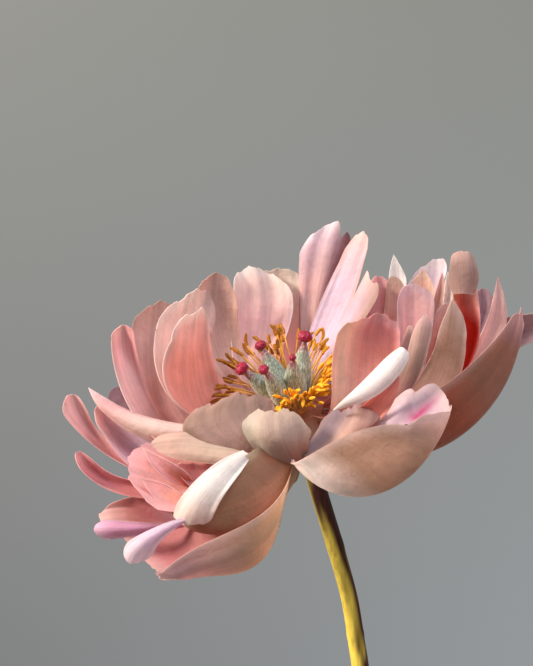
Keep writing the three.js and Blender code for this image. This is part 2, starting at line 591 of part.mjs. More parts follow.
// The stem's hole runs on past its foot and out through the bottom of the water.
function makeWater(stemCurve) {
  const bottom = VASE_WALL + GAP;
  const wall = innerWall(GAP, 2 * VASE_WALL, WATER_LEVEL);
  const body = toSolid(turned([
    [0, bottom],
    [VASE_FOOT_RADIUS - VASE_WALL - GAP, bottom],
    ...wall,
    [0, wall.at(-1)[1]],
  ], VASE_SIDES));
  const [foot, direction] = [stemCurve.getPointAt(1), stemCurve.getTangentAt(1)];
  const onwards = new THREE.LineCurve3(
    foot.clone().addScaledVector(direction, -VASE_WALL),
    foot.clone().addScaledVector(direction, 2 * VASE_WALL),
  );
  const holeRadius = () => STEM_RADIUS + GAP;
  const hole = toSolid(tapered(stemCurve, holeRadius, STEM_SIDES, STEM_STEPS));
  const below = toSolid(tapered(onwards, holeRadius, STEM_SIDES, 1));
  return body.subtract(hole).subtract(below);
}

// ---------------------------------------------------------------- stem, receptacle and sepals
// The stem is judged from the front down to the vase's mouth, then leans on the neck and
// stands on the vase's floor.
const STEM_SEEN = [
  [6.8, 13, -23.4],
  [13.9, 24.5, -47],
  [18.7, 33, -65],
  [21.2, 38.5, -80.5],
  [22.4, 41, -88.2],
];
const STEM_INSIDE = [[3.4, 3, 140], [8.5, 8, 75], [12.5, 12, VASE_WALL + 0.5]];
const SEPAL_AZIMUTHS = [15, 90, 160, 235, 290];
const SEPAL_HALF_WIDTH = 4;
const SEPAL_ROOT = [5.5, -8];                     // radius and height on the bloom's axis
const SEPAL_MIDDLE = [11.5, -13.5];
const SEPAL_TIP = [13.5, -19];

function makeStemCurve(bloomPlace) {
  return new THREE.CatmullRomCurve3([
    onAxis(0, 0, -10).applyMatrix4(bloomPlace),
    ...STEM_SEEN.map((point) => seen(point).applyMatrix4(bloomPlace)),
    ...STEM_INSIDE.map((point) => new THREE.Vector3(...point)),
  ]);
}

function makeSepal(azimuth) {
  const sideways = onAxis(azimuth + 90, SEPAL_HALF_WIDTH, 0);
  const middle = onAxis(azimuth, ...SEPAL_MIDDLE);
  const rib = [middle.clone().sub(sideways), middle, middle.clone().add(sideways)];
  const [root, tip] = [SEPAL_ROOT, SEPAL_TIP].map((place) => onAxis(azimuth, ...place));
  return blade(petalSurface(root, [rib], tip, { claw: 0.6 }), [3, 3]);
}

function makeStem(curve, bloomPlace) {
  const receptacle = turnedOnAxis([
    [0, -14],
    [STEM_RADIUS, -14],
    [5.2, -9.5],
    [7.6, -5.2],
    [7.6, SEAT_BOTTOM - GAP],
    [0, SEAT_BOTTOM - GAP],
  ], 16);
  const crown = [receptacle, ...SEPAL_AZIMUTHS.map(makeSepal)];
  crown.forEach((geometry) => geometry.applyMatrix4(bloomPlace));
  return join([tapered(curve, () => STEM_RADIUS, STEM_SIDES, STEM_STEPS), ...crown]);
}

// ---------------------------------------------------------------- the whole
const part = new THREE.Group();

function addMesh(parent, name, solid, look) {
  const mesh = new THREE.Mesh(toGeometry(solid), material(look));
  mesh.name = name;
  parent.add(mesh);
}

const bloom = new THREE.Group();
bloom.rotation.x = -VIEW_TILT;
bloom.position.copy(BLOOM_SEAT);
bloom.updateMatrix();
part.add(bloom);

const petals = makePetals();
const carpels = makeCarpels();
const stigmas = CARPELS.map(makeStigma);
const stemCurve = makeStemCurve(bloom.matrix);

addMesh(part, "vase", makeVase(), "ceramic");
addMesh(part, "water", makeWater(stemCurve), "water");
addMesh(part, "stem", makeStem(stemCurve, bloom.matrix), "stem");
addMesh(bloom, "petals", petals, "petal");
addMesh(bloom, "carpels", carpels, "carpel");
stigmas.forEach((stigma, i) => addMesh(bloom, `stigma_${i + 1}`, stigma, "stigma"));
const obstacles = [petals, carpels, ...stigmas].reduce((all, one) => all.add(one));
addMesh(bloom, "stamens", makeStamens(obstacles), "stamen");

export default part;
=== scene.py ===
"""A semi-double coral peony in a plain bud vase, dressed round its solid model.
Metres, +Z up, with the origin under the middle of the vase's foot."""

import bpy
import numpy as np
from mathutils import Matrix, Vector
from mathutils.bvhtree import BVHTree


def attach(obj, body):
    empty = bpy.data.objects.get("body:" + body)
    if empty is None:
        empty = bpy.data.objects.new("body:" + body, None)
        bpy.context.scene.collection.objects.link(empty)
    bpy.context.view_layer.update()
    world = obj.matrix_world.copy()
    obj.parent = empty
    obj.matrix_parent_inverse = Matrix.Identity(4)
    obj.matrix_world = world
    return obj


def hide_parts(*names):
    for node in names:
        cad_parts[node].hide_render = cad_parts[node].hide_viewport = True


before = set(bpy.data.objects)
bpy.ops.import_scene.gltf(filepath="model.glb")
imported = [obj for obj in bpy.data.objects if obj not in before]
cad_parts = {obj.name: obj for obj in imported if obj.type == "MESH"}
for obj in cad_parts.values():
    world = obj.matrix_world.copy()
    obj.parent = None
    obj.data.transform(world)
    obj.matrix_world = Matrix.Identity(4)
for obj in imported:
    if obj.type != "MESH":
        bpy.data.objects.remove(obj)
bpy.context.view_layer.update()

MM = 0.001

# -------- vase
# A bud vase of pale stoneware: a full belly, a narrow neck and a softly rounded lip.
# It is thrown, dipped in a cream glaze and fired, so it is smooth, glossy and faintly speckled.
VASE_HEIGHT = 164
VASE_FOOT_RADIUS = 30
VASE_BELLY_RADIUS = 42
VASE_NECK_RADIUS = 13.8
VASE_LIP_RADIUS = 15.5
VASE_WALL = 3.6
PINHOLE = 0.05  # a turned profile ends this near its axis, under a cap
VASE_FOOT_RING = [(PINHOLE, 1.2), (24.5, 1.2), (25.6, 0.1), (27, 0), (29.2, 0)]
VASE_SIDE = [
    (VASE_FOOT_RADIUS, 0),
    (0.93 * VASE_BELLY_RADIUS, 0.12 * VASE_HEIGHT),
    (VASE_BELLY_RADIUS, 0.3 * VASE_HEIGHT),
    (0.76 * VASE_BELLY_RADIUS, 0.52 * VASE_HEIGHT),
    (1.2 * VASE_NECK_RADIUS, 0.7 * VASE_HEIGHT),
    (VASE_NECK_RADIUS, 0.86 * VASE_HEIGHT),
    (VASE_LIP_RADIUS, VASE_HEIGHT - VASE_WALL / 2),
]
VASE_FLOOR = [(VASE_FOOT_RADIUS - VASE_WALL, 1.4 * VASE_WALL), (18, VASE_WALL), (PINHOLE, VASE_WALL)]
VASE_SIDE_POINTS, VASE_SIDES = 70, 96


def circle(sides):
    """The angles of that many points, evenly round a circle."""
    return np.arange(sides) * 2 * np.pi / sides


def linear(shade):
    """An sRGB hex value as linear red, green and blue."""
    channels = np.array([int(shade[i:i + 2], 16) for i in (0, 2, 4)]) / 255
    return np.where(channels <= 0.04045, channels / 12.92, ((channels + 0.055) / 1.055) ** 2.4)


def add(tree, kind, inputs=None, **settings):
    """Adds one shader node: its settings, and for each input a number, a colour's hex value, the
    socket that feeds it, or the node whose first live output does."""
    made = tree.nodes.new("ShaderNode" + kind)
    for name, value in settings.items():
        setattr(made, name, value)
    for name, value in (inputs or {}).items():
        if isinstance(value, bpy.types.Node):
            value = next(output for output in value.outputs if output.enabled)
        if isinstance(value, bpy.types.NodeSocket):
            tree.links.new(value, made.inputs[name])
        else:
            made.inputs[name].default_value = (*linear(value), 1) if isinstance(value, str) else value
    return made


def noise(tree, place, scale, detail, roughness=0.5, **settings):
    """Noise of a scale, with that much detail."""
    return add(tree, "TexNoise", {"Vector": place, "Scale": scale, "Detail": detail,
                                  "Roughness": roughness}, **settings)


def mix(tree, share, first, second, **settings):
    """The first colour, turned to the second by a share."""
    return add(tree, "Mix", {"Factor": share, "A": first, "B": second}, data_type="RGBA", **settings)


def raised(tree, height, strength, reach, **settings):
    """A normal bent by a height that reaches so many millimetres."""
    inputs = {"Height": height, "Strength": strength, "Distance": reach * MM}
    return add(tree, "Bump", inputs, **settings)


def put_out(tree, inputs):
    """A principled surface as the material's output."""
    add(tree, "OutputMaterial", {"Surface": add(tree, "BsdfPrincipled", inputs)})


def new_material(name):
    """An empty material, its node tree, and the socket that gives the place on a piece in metres."""
    material = bpy.data.materials.new(name)
    material.use_nodes = True
    tree = material.node_tree
    tree.nodes.clear()
    return material, tree, add(tree, "TexCoord").outputs["Object"]


def smooth_line(points, steps, pace_power=0.5):
    """A curve through the points. Between two of them it is a cubic whose slope at each comes from the
    steps before and after it, with each step's time its length to the given power."""
    points = np.asarray(points, float)
    ends = 2 * points[[0, -1]] - points[[1, -2]]
    padded = np.concatenate([ends[:1], points, ends[1:]])
    times = np.linalg.norm(np.diff(padded, axis=0), axis=1)[:, None] ** pace_power
    at = np.linspace(0, len(points) - 1, steps)
    first = np.minimum(at.astype(int), len(points) - 2)
    t = (at - first)[:, None]
    before, start, end, after = (padded[first + k] for k in range(4))
    t0, t1, t2 = (times[first + k] for k in range(3))
    leave = t1 * ((start - before) / t0 - (end - before) / (t0 + t1) + (end - start) / t1)
    arrive = t1 * ((end - start) / t1 - (after - start) / (t1 + t2) + (after - end) / t2)
    cubic = (2 * (start - end) + leave + arrive) * t ** 3
    square = (3 * (end - start) - 2 * leave - arrive) * t ** 2
    return cubic + square + leave * t + start


def ring_faces(points):
    """Quads between the neighbouring rings of one tube or several, and a flat cap on each end."""
    tubes, rings, sides = (1, *points.shape)[-4:-1]
    index = np.arange(tubes * rings * sides).reshape(tubes, rings, sides)
    after = np.roll(index, -1, axis=2)
    quads = np.stack([index[:, :-1], after[:, :-1], after[:, 1:], index[:, 1:]], axis=-1)
    return [*quads.reshape(-1, 4).tolist(), *index[:, 0, ::-1].tolist(), *index[:, -1].tolist()]


def stand(name, data):
    """An object of the given data, in the scene."""
    made = bpy.data.objects.new(name, data)
    bpy.context.scene.collection.objects.link(made)
    return made


def put(name, points, faces, material, nodes, sharp=50):
    """A piece of the given name from points in millimetres. It stands for the named solids."""
    mesh = bpy.data.meshes.new(name)
    mesh.from_pydata((points.reshape(-1, 3) * MM).tolist(), [], faces)
    mesh.shade_smooth()
    mesh.set_sharp_from_angle(angle=np.radians(sharp))
    mesh.materials.append(material)
    piece = stand(name, mesh)
    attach(piece, "root")
    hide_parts(*nodes)
    return piece


def turned(profile, sides):
    """Rings of points: each (radius, height) of the profile, turned round the upright axis."""
    angle = circle(sides)
    radius, height = np.asarray(profile, float).T[..., None]
    return np.stack([radius * np.cos(angle), radius * np.sin(angle), height + 0 * angle], axis=-1)


# The profile goes from the middle of the foot out and up the side, over the half-round lip, down the
# inside and in to the middle of the floor.
side = smooth_line(VASE_SIDE, VASE_SIDE_POINTS, 0)
turn = np.linspace(0, np.pi, 9)[1:-1, None]
lip_middle = side[-1] - [VASE_WALL / 2, 0]
lip = lip_middle + VASE_WALL / 2 * np.concatenate([np.cos(turn), np.sin(turn)], axis=1)
inside = (side - [VASE_WALL, 0])[::-1]
inside = inside[inside[:, 1] > 2 * VASE_WALL]
vase_profile = np.concatenate([VASE_FOOT_RING, side[1:], lip, inside, VASE_FLOOR])
vase_rings = turned(vase_profile, VASE_SIDES)

# Cream stoneware glaze: glossy, clouded, with iron specks about a millimetre apart.
cream_glaze, tree, place = new_material("stoneware_cream_glaze")
cloud = noise(tree, place, 0.04 / MM, 3)
speck = noise(tree, place, 0.9 / MM, 1)
spotted = add(tree, "MapRange", {"Value": speck, "From Min": 0.68, "From Max": 0.76, "To Max": 0.55})
shade = mix(tree, cloud, "d9d1c2", "e6e0d4")
speckled = mix(tree, spotted, shade, "8d7558")
put_out(tree, {"Base Color": speckled, "Roughness": 0.28, "IOR": 1.5, "Coat Weight": 0.4,
               "Coat Roughness": 0.12, "Normal": raised(tree, cloud, 0.15, 0.8)})
put("vase_turned", vase_rings, ring_faces(vase_rings), cream_glaze, ["vase"], sharp=60)

# -------- water
# Clean tap water that fills the vase to the foot of its neck, with the stem standing in it.
# The solid model's own water stays. The water is clear, with the faint green of a vase that has
# stood for a day, and ripples a centimetre across.
tap_water, tree, place = new_material("water_clear")
ripple = raised(tree, noise(tree, place, 0.09 / MM, 1), 0.05, 0.5)
put_out(tree, {"Base Color": "dfe9e6", "Roughness": 0.03, "IOR": 1.333, "Transmission Weight": 1,
               "Normal": ripple})
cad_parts["water"].material_slots[0].material = tap_water

# -------- stem
# The living stem: a firm round stalk, green to gold with red-brown streaks of its own. It is painted
# red-brown on its right side as painted shade, and near the bloom as the bloom's painted shadow.
# It leans out of the neck, and its cut foot stands on the vase's floor.
BLOOM_SEAT = np.array([-24.5, -25, 276])  # middle of the petal seat
BLOOM_LEAN = np.array([-0.273, -0.469, 0.84])  # the way that the bloom faces
VIEW_TILT = np.radians(12)  # the bloom's own frame leans back by this much
VIEW_DISTANCE = 1000  # petals were judged from here
VIEW_CENTRE = np.array([-11.3, 0, 31.3])  # the line of sight meets the bloom here
STEM_RADIUS = 3.2
STEM_SEEN = [(6.8, 13, -23.4), (13.9, 24.5, -47), (18.7, 33, -65), (21.2, 38.5, -80.5),
             (22.4, 41, -88.2)]
STEM_INSIDE = [(3.4, 3, 140), (8.5, 8, 75), (12.5, 12, VASE_WALL + 0.5)]
STEM_POINTS, STEM_SIDES = 150, 28
STEM_RIBS, STEM_RIB_HEIGHT, STEM_RIB_TWIST = 4, 0.018, 9
LEAF_SCARS = (0.24, 0.47)  # places along the stem where leaves were taken off
# The bloom's painted shadow: this share of the stem is painted red-brown all round.
BLOOM_SHADOW_END, BLOOM_SHADOW_FADE = 0.2, 0.02  # share of the stem that is red-brown all round


def unit(vectors):
    """The vectors at a length of one."""
    return vectors / np.maximum(np.linalg.norm(vectors, axis=-1, keepdims=True), 1e-9)


BLOOM_AXIS = unit(BLOOM_LEAN)
ACROSS = unit(np.array([1, 0, 0]) - BLOOM_AXIS[0] * BLOOM_AXIS)
BACK = np.cross(BLOOM_AXIS, ACROSS)


def seen(points):
    """Points judged from the front (across, depth, up). Depth moves them along the line of sight."""
    points = np.asarray(points, float)
    return points + (points - VIEW_CENTRE) * [1, 0, 1] * points[..., 1:2] / VIEW_DISTANCE


def on_axis(azimuth, radius, height):
    """A point of the bloom's own frame: an azimuth in degrees turns from right through back."""
    turn = np.radians(np.asarray(azimuth, float))[..., None]
    return BLOOM_AXIS * height + (ACROSS * np.cos(turn) + BACK * np.sin(turn)) * radius


def place_bloom(points):
    """Points of the bloom's frame, leaned back and set on the petal seat."""
    x, y, z = np.moveaxis(points, -1, 0)
    cos, sin = np.cos(VIEW_TILT), np.sin(VIEW_TILT)
    return np.stack([x, y * cos + z * sin, z * cos - y * sin], axis=-1) + BLOOM_SEAT


def tubes(lines, radii, sides, reference):
    """Rings round each line: circles of the given radii, square to the line, started from the
    direction that is square to both the line and the reference."""
    along = unit(np.gradient(lines, axis=1))
    aside = unit(np.cross(along, reference))
    up = np.cross(along, aside)
    angle = circle(sides)[:, None]
    outward = aside[:, :, None] * np.cos(angle) + up[:, :, None] * np.sin(angle)
    return lines[:, :, None] + outward * radii[..., None]


def blend(first, second, share):
    """The first colour, turned to the second by a share from 0 to 1."""
    return first * (1 - share) + second * share


def paint(piece, colours):
    """Gives the points of a piece their linear colours, as the attribute tint. Where there are fewer
    colours than points, each serves a run of them, such as a ring."""
    colours = np.asarray(colours, float).reshape(-1, 3)
    colours = np.repeat(colours, len(piece.data.vertices) // len(colours), axis=0)
    values = np.concatenate([colours, np.ones((len(colours), 1))], axis=1)
    tint = piece.data.color_attributes.new("tint", "FLOAT_COLOR", "POINT")
    tint.data.foreach_set("color", values.astype(np.float32).ravel())


def plant_skin(name, per_mm, detail, flecks, shade, bump, look):
    """Plant tissue: a piece's own tint, flecked with another shade by a noise that also raises it.
    Per_mm counts its grains to a millimetre, each way. Flecks holds the noise's values where they
    start and where they are full, and their strength, and bump a strength and a height in mm."""
    material, tree, place = new_material(name)
    drawn_out = add(tree, "Mapping", {"Vector": place, "Scale": [count / MM for count in per_mm]})
    grain = noise(tree, drawn_out, 1, detail)
    tint = add(tree, "Attribute", attribute_name="tint")
    start, full, most = flecks
    share = add(tree, "MapRange", {"Value": grain, "From Min": start, "From Max": full, "To Max": most})
    flecked = mix(tree, share, tint, shade)
    put_out(tree, {"Base Color": flecked, "Normal": raised(tree, grain, *bump), **look})
    return material


# Fresh stalk: waxy skin with a soft gloss, and lengthwise fibres a millimetre apart and finer.
stalk_skin = plant_skin(
    "peony_stalk_skin", (0.9, 0.9, 0.06), 3, (0.35, 0.75, 0.45), "63300f", (0.4, 0.3),
    {"Roughness": 0.5, "IOR": 1.45, "Specular IOR Level": 0.25, "Subsurface Weight": 0.08,
     "Subsurface Radius": (1.5 * MM, 1 * MM, 0.4 * MM), "Subsurface Scale": 1})
stem_points = [place_bloom(on_axis(0, 0, -10)), *place_bloom(seen(STEM_SEEN)), *STEM_INSIDE]
stem_line = smooth_line(stem_points, STEM_POINTS)[None]
stem_share = np.linspace(0, 1, STEM_POINTS)[None, :, None]
stem_angle = circle(STEM_SIDES)
# Four low ribs wind down it, and it swells a little where leaves were taken off.
swelling = sum(0.05 * np.exp(-((stem_share - place) / 0.012) ** 2) for place in LEAF_SCARS)
ribbing = STEM_RIB_HEIGHT * np.cos(STEM_RIBS * stem_angle + STEM_RIB_TWIST * stem_share)
stem_rings = tubes(stem_line, STEM_RADIUS * (1 + ribbing + swelling), STEM_SIDES, np.array([0, 1, 0]))
stem = put("stem_stalk", stem_rings, ring_faces(stem_rings), stalk_skin, ["stem"])
# Red-brown: painted shadow all round near the bloom, painted shade on the right side, and the
# stem's own long streaks.
stem_right = (stem_rings - stem_line[:, :, None])[..., 0] / STEM_RADIUS
streaks = (0.25 * np.sin(5 * stem_angle + 14 * stem_share)
           + 0.2 * np.sin(3 * stem_angle - 31 * stem_share))
bloom_shadow = 1 / (1 + np.exp((stem_share - BLOOM_SHADOW_END) / BLOOM_SHADOW_FADE))
flush_and_shade = np.clip(0.15 + stem_right + streaks + 1.2 * bloom_shadow, 0, 1)[..., None]
paint(stem, blend(linear("f4d85a"), linear("3a0f08"), flush_and_shade))

# -------- receptacle and sepals
# The stalk widens into a cup that carries the petals, with five leathery green sepals bent back
# under the bloom. Only scraps of them show in front; their undersides are paler.
RECEPTACLE = [(PINHOLE, -14), (2.9, -14), (3.3, -12.4), (5.2, -9.5), (6.9, -6.6), (7.6, -5.2),
              (7.6, -4), (PINHOLE, -4)]
RECEPTACLE_POINTS, RECEPTACLE_SIDES = 34, 32
SEPAL_AZIMUTHS = [15, 90, 160, 235, 290]
SEPAL_HALF_WIDTH = 4
SEPAL_THICKNESS = 0.6
SEPAL_CLAW = 0.6  # width at the root, as a share of the first rib's


def put_rings(name, rings, material, nodes):
    """A piece of rings that are given in the bloom's frame."""
    return put(name, place_bloom(rings), ring_faces(rings), material, nodes)


def put_turned(name, profile, points, sides, material, nodes):
    """A piece turned on the bloom's axis, from a smooth line through a profile of (radius, height)."""
    x, y, z = np.moveaxis(turned(smooth_line(profile, points), sides), -1, 0)[..., None]
    return put_rings(name, ACROSS * x + BACK * y + BLOOM_AXIS * z, material, nodes)


def polynomial(places, values, at):
    """The one polynomial that takes the given values at the given places (Lagrange's sum)."""
    total = 0
    for i, value in enumerate(values):
        weight = np.ones_like(at)
        for j, place in enumerate(places):
            if j != i:
                weight = weight * (at - place) / (places[i] - place)
        total = total + weight[..., None] * value
    return total


def blade_grid(rows, columns):
    """Grids of places across a blade, -1 to 1 and closer at its sides, and along it, 0 to 1."""
    across = np.sin(np.pi / 2 * np.linspace(-1, 1, rows))
    return np.meshgrid(across, np.linspace(0, 1, columns), indexing="ij")


def blade_surface(root, ribs, tip, across, along, claw=0.12, point=0, taper=0.15, notches=()):
    """A blade's middle surface, read at grids of places across and along it.
    Its midline is the polynomial through root, rib middles and tip. Its sides are parabolas through
    the narrow claw and the ribs' ends, and past the last rib the end is rounded, pointed or notched."""
    ribs = np.asarray(ribs)
    middles, sides = ribs[:, 1], ribs[:, [0, 2]] - ribs[:, 1:2]
    if len(ribs) == 1:
        before = np.linalg.norm(middles[0] - root)
        share = before / (before + np.linalg.norm(tip - middles[0]))
        halfway = polynomial([0, share, 1], [root, middles[0], tip], np.array(share / 2))
        middles, sides = np.stack([halfway, middles[0]]), np.stack([0.8 * sides[0], sides[0]])
    line = np.stack([root, *middles, tip])
    places = np.concatenate([[0], np.cumsum(np.linalg.norm(np.diff(line, axis=0), axis=1))])
    places = places / places[-1]
    shoulder, roundness = places[-2], 1 - places[-2]
    curved = 1 - np.sqrt(1 - np.minimum(across ** 2, 0.9995))
    end = 1 - roundness * ((1 - point) * curved + point * np.abs(across) ** 1.15)
    end = end - sum(depth * np.exp(-((across - place) / width) ** 2) for place, depth, width in notches)
    at = along * end
    narrowing = 1 - taper * np.maximum(0, (at - shoulder) / roundness)[..., None] ** 2
    left, right = (
        polynomial(places[:-1], [claw * sides[0, k], *sides[:, k]], np.minimum(at, shoulder)) * narrowing
        for k in (0, 1)
    )
    across = across[..., None]
    return (polynomial(places, line, at) + right * (across + across ** 2) / 2
            + left * (across ** 2 - across) / 2)


def unit_normals(surface):
    """The direction square to a grid of points, from the steps to its neighbours both ways. Each is
    summed with those around it, so that a corner pinched to nothing takes its neighbours'."""
    normal = np.cross(np.gradient(surface, axis=0), np.gradient(surface, axis=1))
    for axis in (0, 1, 0, 1):
        order = np.arange(normal.shape[axis])
        normal = sum(np.take(normal, np.clip(order + step, 0, order[-1]), axis) for step in (-1, 0, 1))
    return unit(normal)


def blade_solid(surface, thickness):
    """A closed blade: the grid moved half a thickness to each side, joined round its rim."""
    offset = unit_normals(surface) * thickness[..., None] / 2
    rows, columns = surface.shape[:2]
    index = np.arange(rows * columns).reshape(rows, columns)
    quads = np.stack([index[:-1, :-1], index[1:, :-1], index[1:, 1:], index[:-1, 1:]], axis=-1)
    quads = quads.reshape(-1, 4)
    rim = np.concatenate([index[0, :-1], index[:-1, -1], index[-1, :0:-1], index[:0:-1, 0]])
    under, after = rows * columns, np.roll(rim, -1)
    band = np.stack([rim, after, under + after, under + rim], axis=-1)
    faces = [*quads.tolist(), *(under + quads[:, ::-1]).tolist(), *band.tolist()]
    return np.stack([surface + offset, surface - offset]), faces


receptacle = put_turned("receptacle_cup", RECEPTACLE, RECEPTACLE_POINTS, RECEPTACLE_SIDES, stalk_skin,
                        ["stem"])
cup_share = np.linspace(0, 1, RECEPTACLE_POINTS)[:, None]
paint(receptacle, blend(linear("5a2a16"), linear("8f9440"), cup_share))

for number, azimuth in enumerate(SEPAL_AZIMUTHS, 1):
    across, along = blade_grid(15, 17)
    middle, side = on_axis(azimuth, 11.5, -13.5), on_axis(azimuth + 90, SEPAL_HALF_WIDTH, 0)
    rib = [middle - side, middle, middle + side]
    sepal = blade_surface(on_axis(azimuth, 5.5, -8), [rib], on_axis(azimuth, 13.5, -19), across, along,
                          SEPAL_CLAW)
    points, faces = blade_solid(place_bloom(sepal), np.full(sepal.shape[:2], SEPAL_THICKNESS))
    piece = put(f"sepal_{number}", points, faces, stalk_skin, ["stem"])
    share = along[..., None]
    paint(piece, np.stack([blend(linear("6f7d35"), linear("8a5a34"), share),
                           blend(linear("a5a35a"), linear("9c7b45"), share)]))

# -------- petals
# Fifty-five coral petals in three turns on the seat: broad guards outside, cups and narrow inner
# petals within. Each is a thin satin blade, thick at the claw and thin at its margin, which is often
# paler, partly in its own colour and partly as a painted highlight where the edge catches the light,
# and it lets light through.
PETAL_THICKNESS = 0.35
PETAL_TURNS = {"guard": (8.5, -2.2), "middle": (8, 0.2), "inner": (7.4, 2.8)}  # radius and height
SEAT = [(PINHOLE, -3.7), (9.4, -3.7), (10, -3.1), (10, 3.4), (9.4, 4), (PINHOLE, 4)]
SEAT_POINTS, SEAT_SIDES = 30, 40
GRID_STEP, LEAST_STEPS, MOST_STEPS = 0.8, 21, 61  # of a petal's mesh
MOST_RUFFLE, MOST_ROLL, USUAL_FOLDS = 0.35, 0.7, 0.15
BLOOM_HEART = 45  # inner faces look at this height on the bloom's axis
STREAK_REACH = (0.05, 0.09)  # across and along
MARGIN_WAVES = [(14, 0.5, 0), (5, 0.35, 1), (2.3, 0.2, 5)]  # spacing, height and which drawn turn
SHADES = {
    "white": "fefaf8", "cream": "f6e9de", "shell": "f7e1d9", "sand": "e3cbba", "dusty": "ddbab0",
    "peach": "f7cfb9", "blush": "f6d0cf", "pink": "f2bcbf", "rose": "e29a9f", "coral": "f0ac9f",
    "flame": "cc2412", "orange": "f0b58a", "lilac": "eed8e8", "mauve": "c3a2ae", "plum": "9c6b7e",
    "tan": "c9a287", "brown": "9c7562", "ash": "c3a097", "crimson": "c95a66", "magenta": "e8609a",
    "straw": "e6dcc4", "lavender": "d8c0cc", "putty": "a98a7b", "clay": "b08b7c", "bark": "ad9478",
    "wheat": "e7d5aa", "bisque": "c7ae8e", "salmon": "e38e81", "orchid": "dfa9c4",
    "rosewood": "b5787a", "russet": "a8624c", "heather": "ab939b", "bone": "ded2c4",
    "mist": "f8e8f1",
}
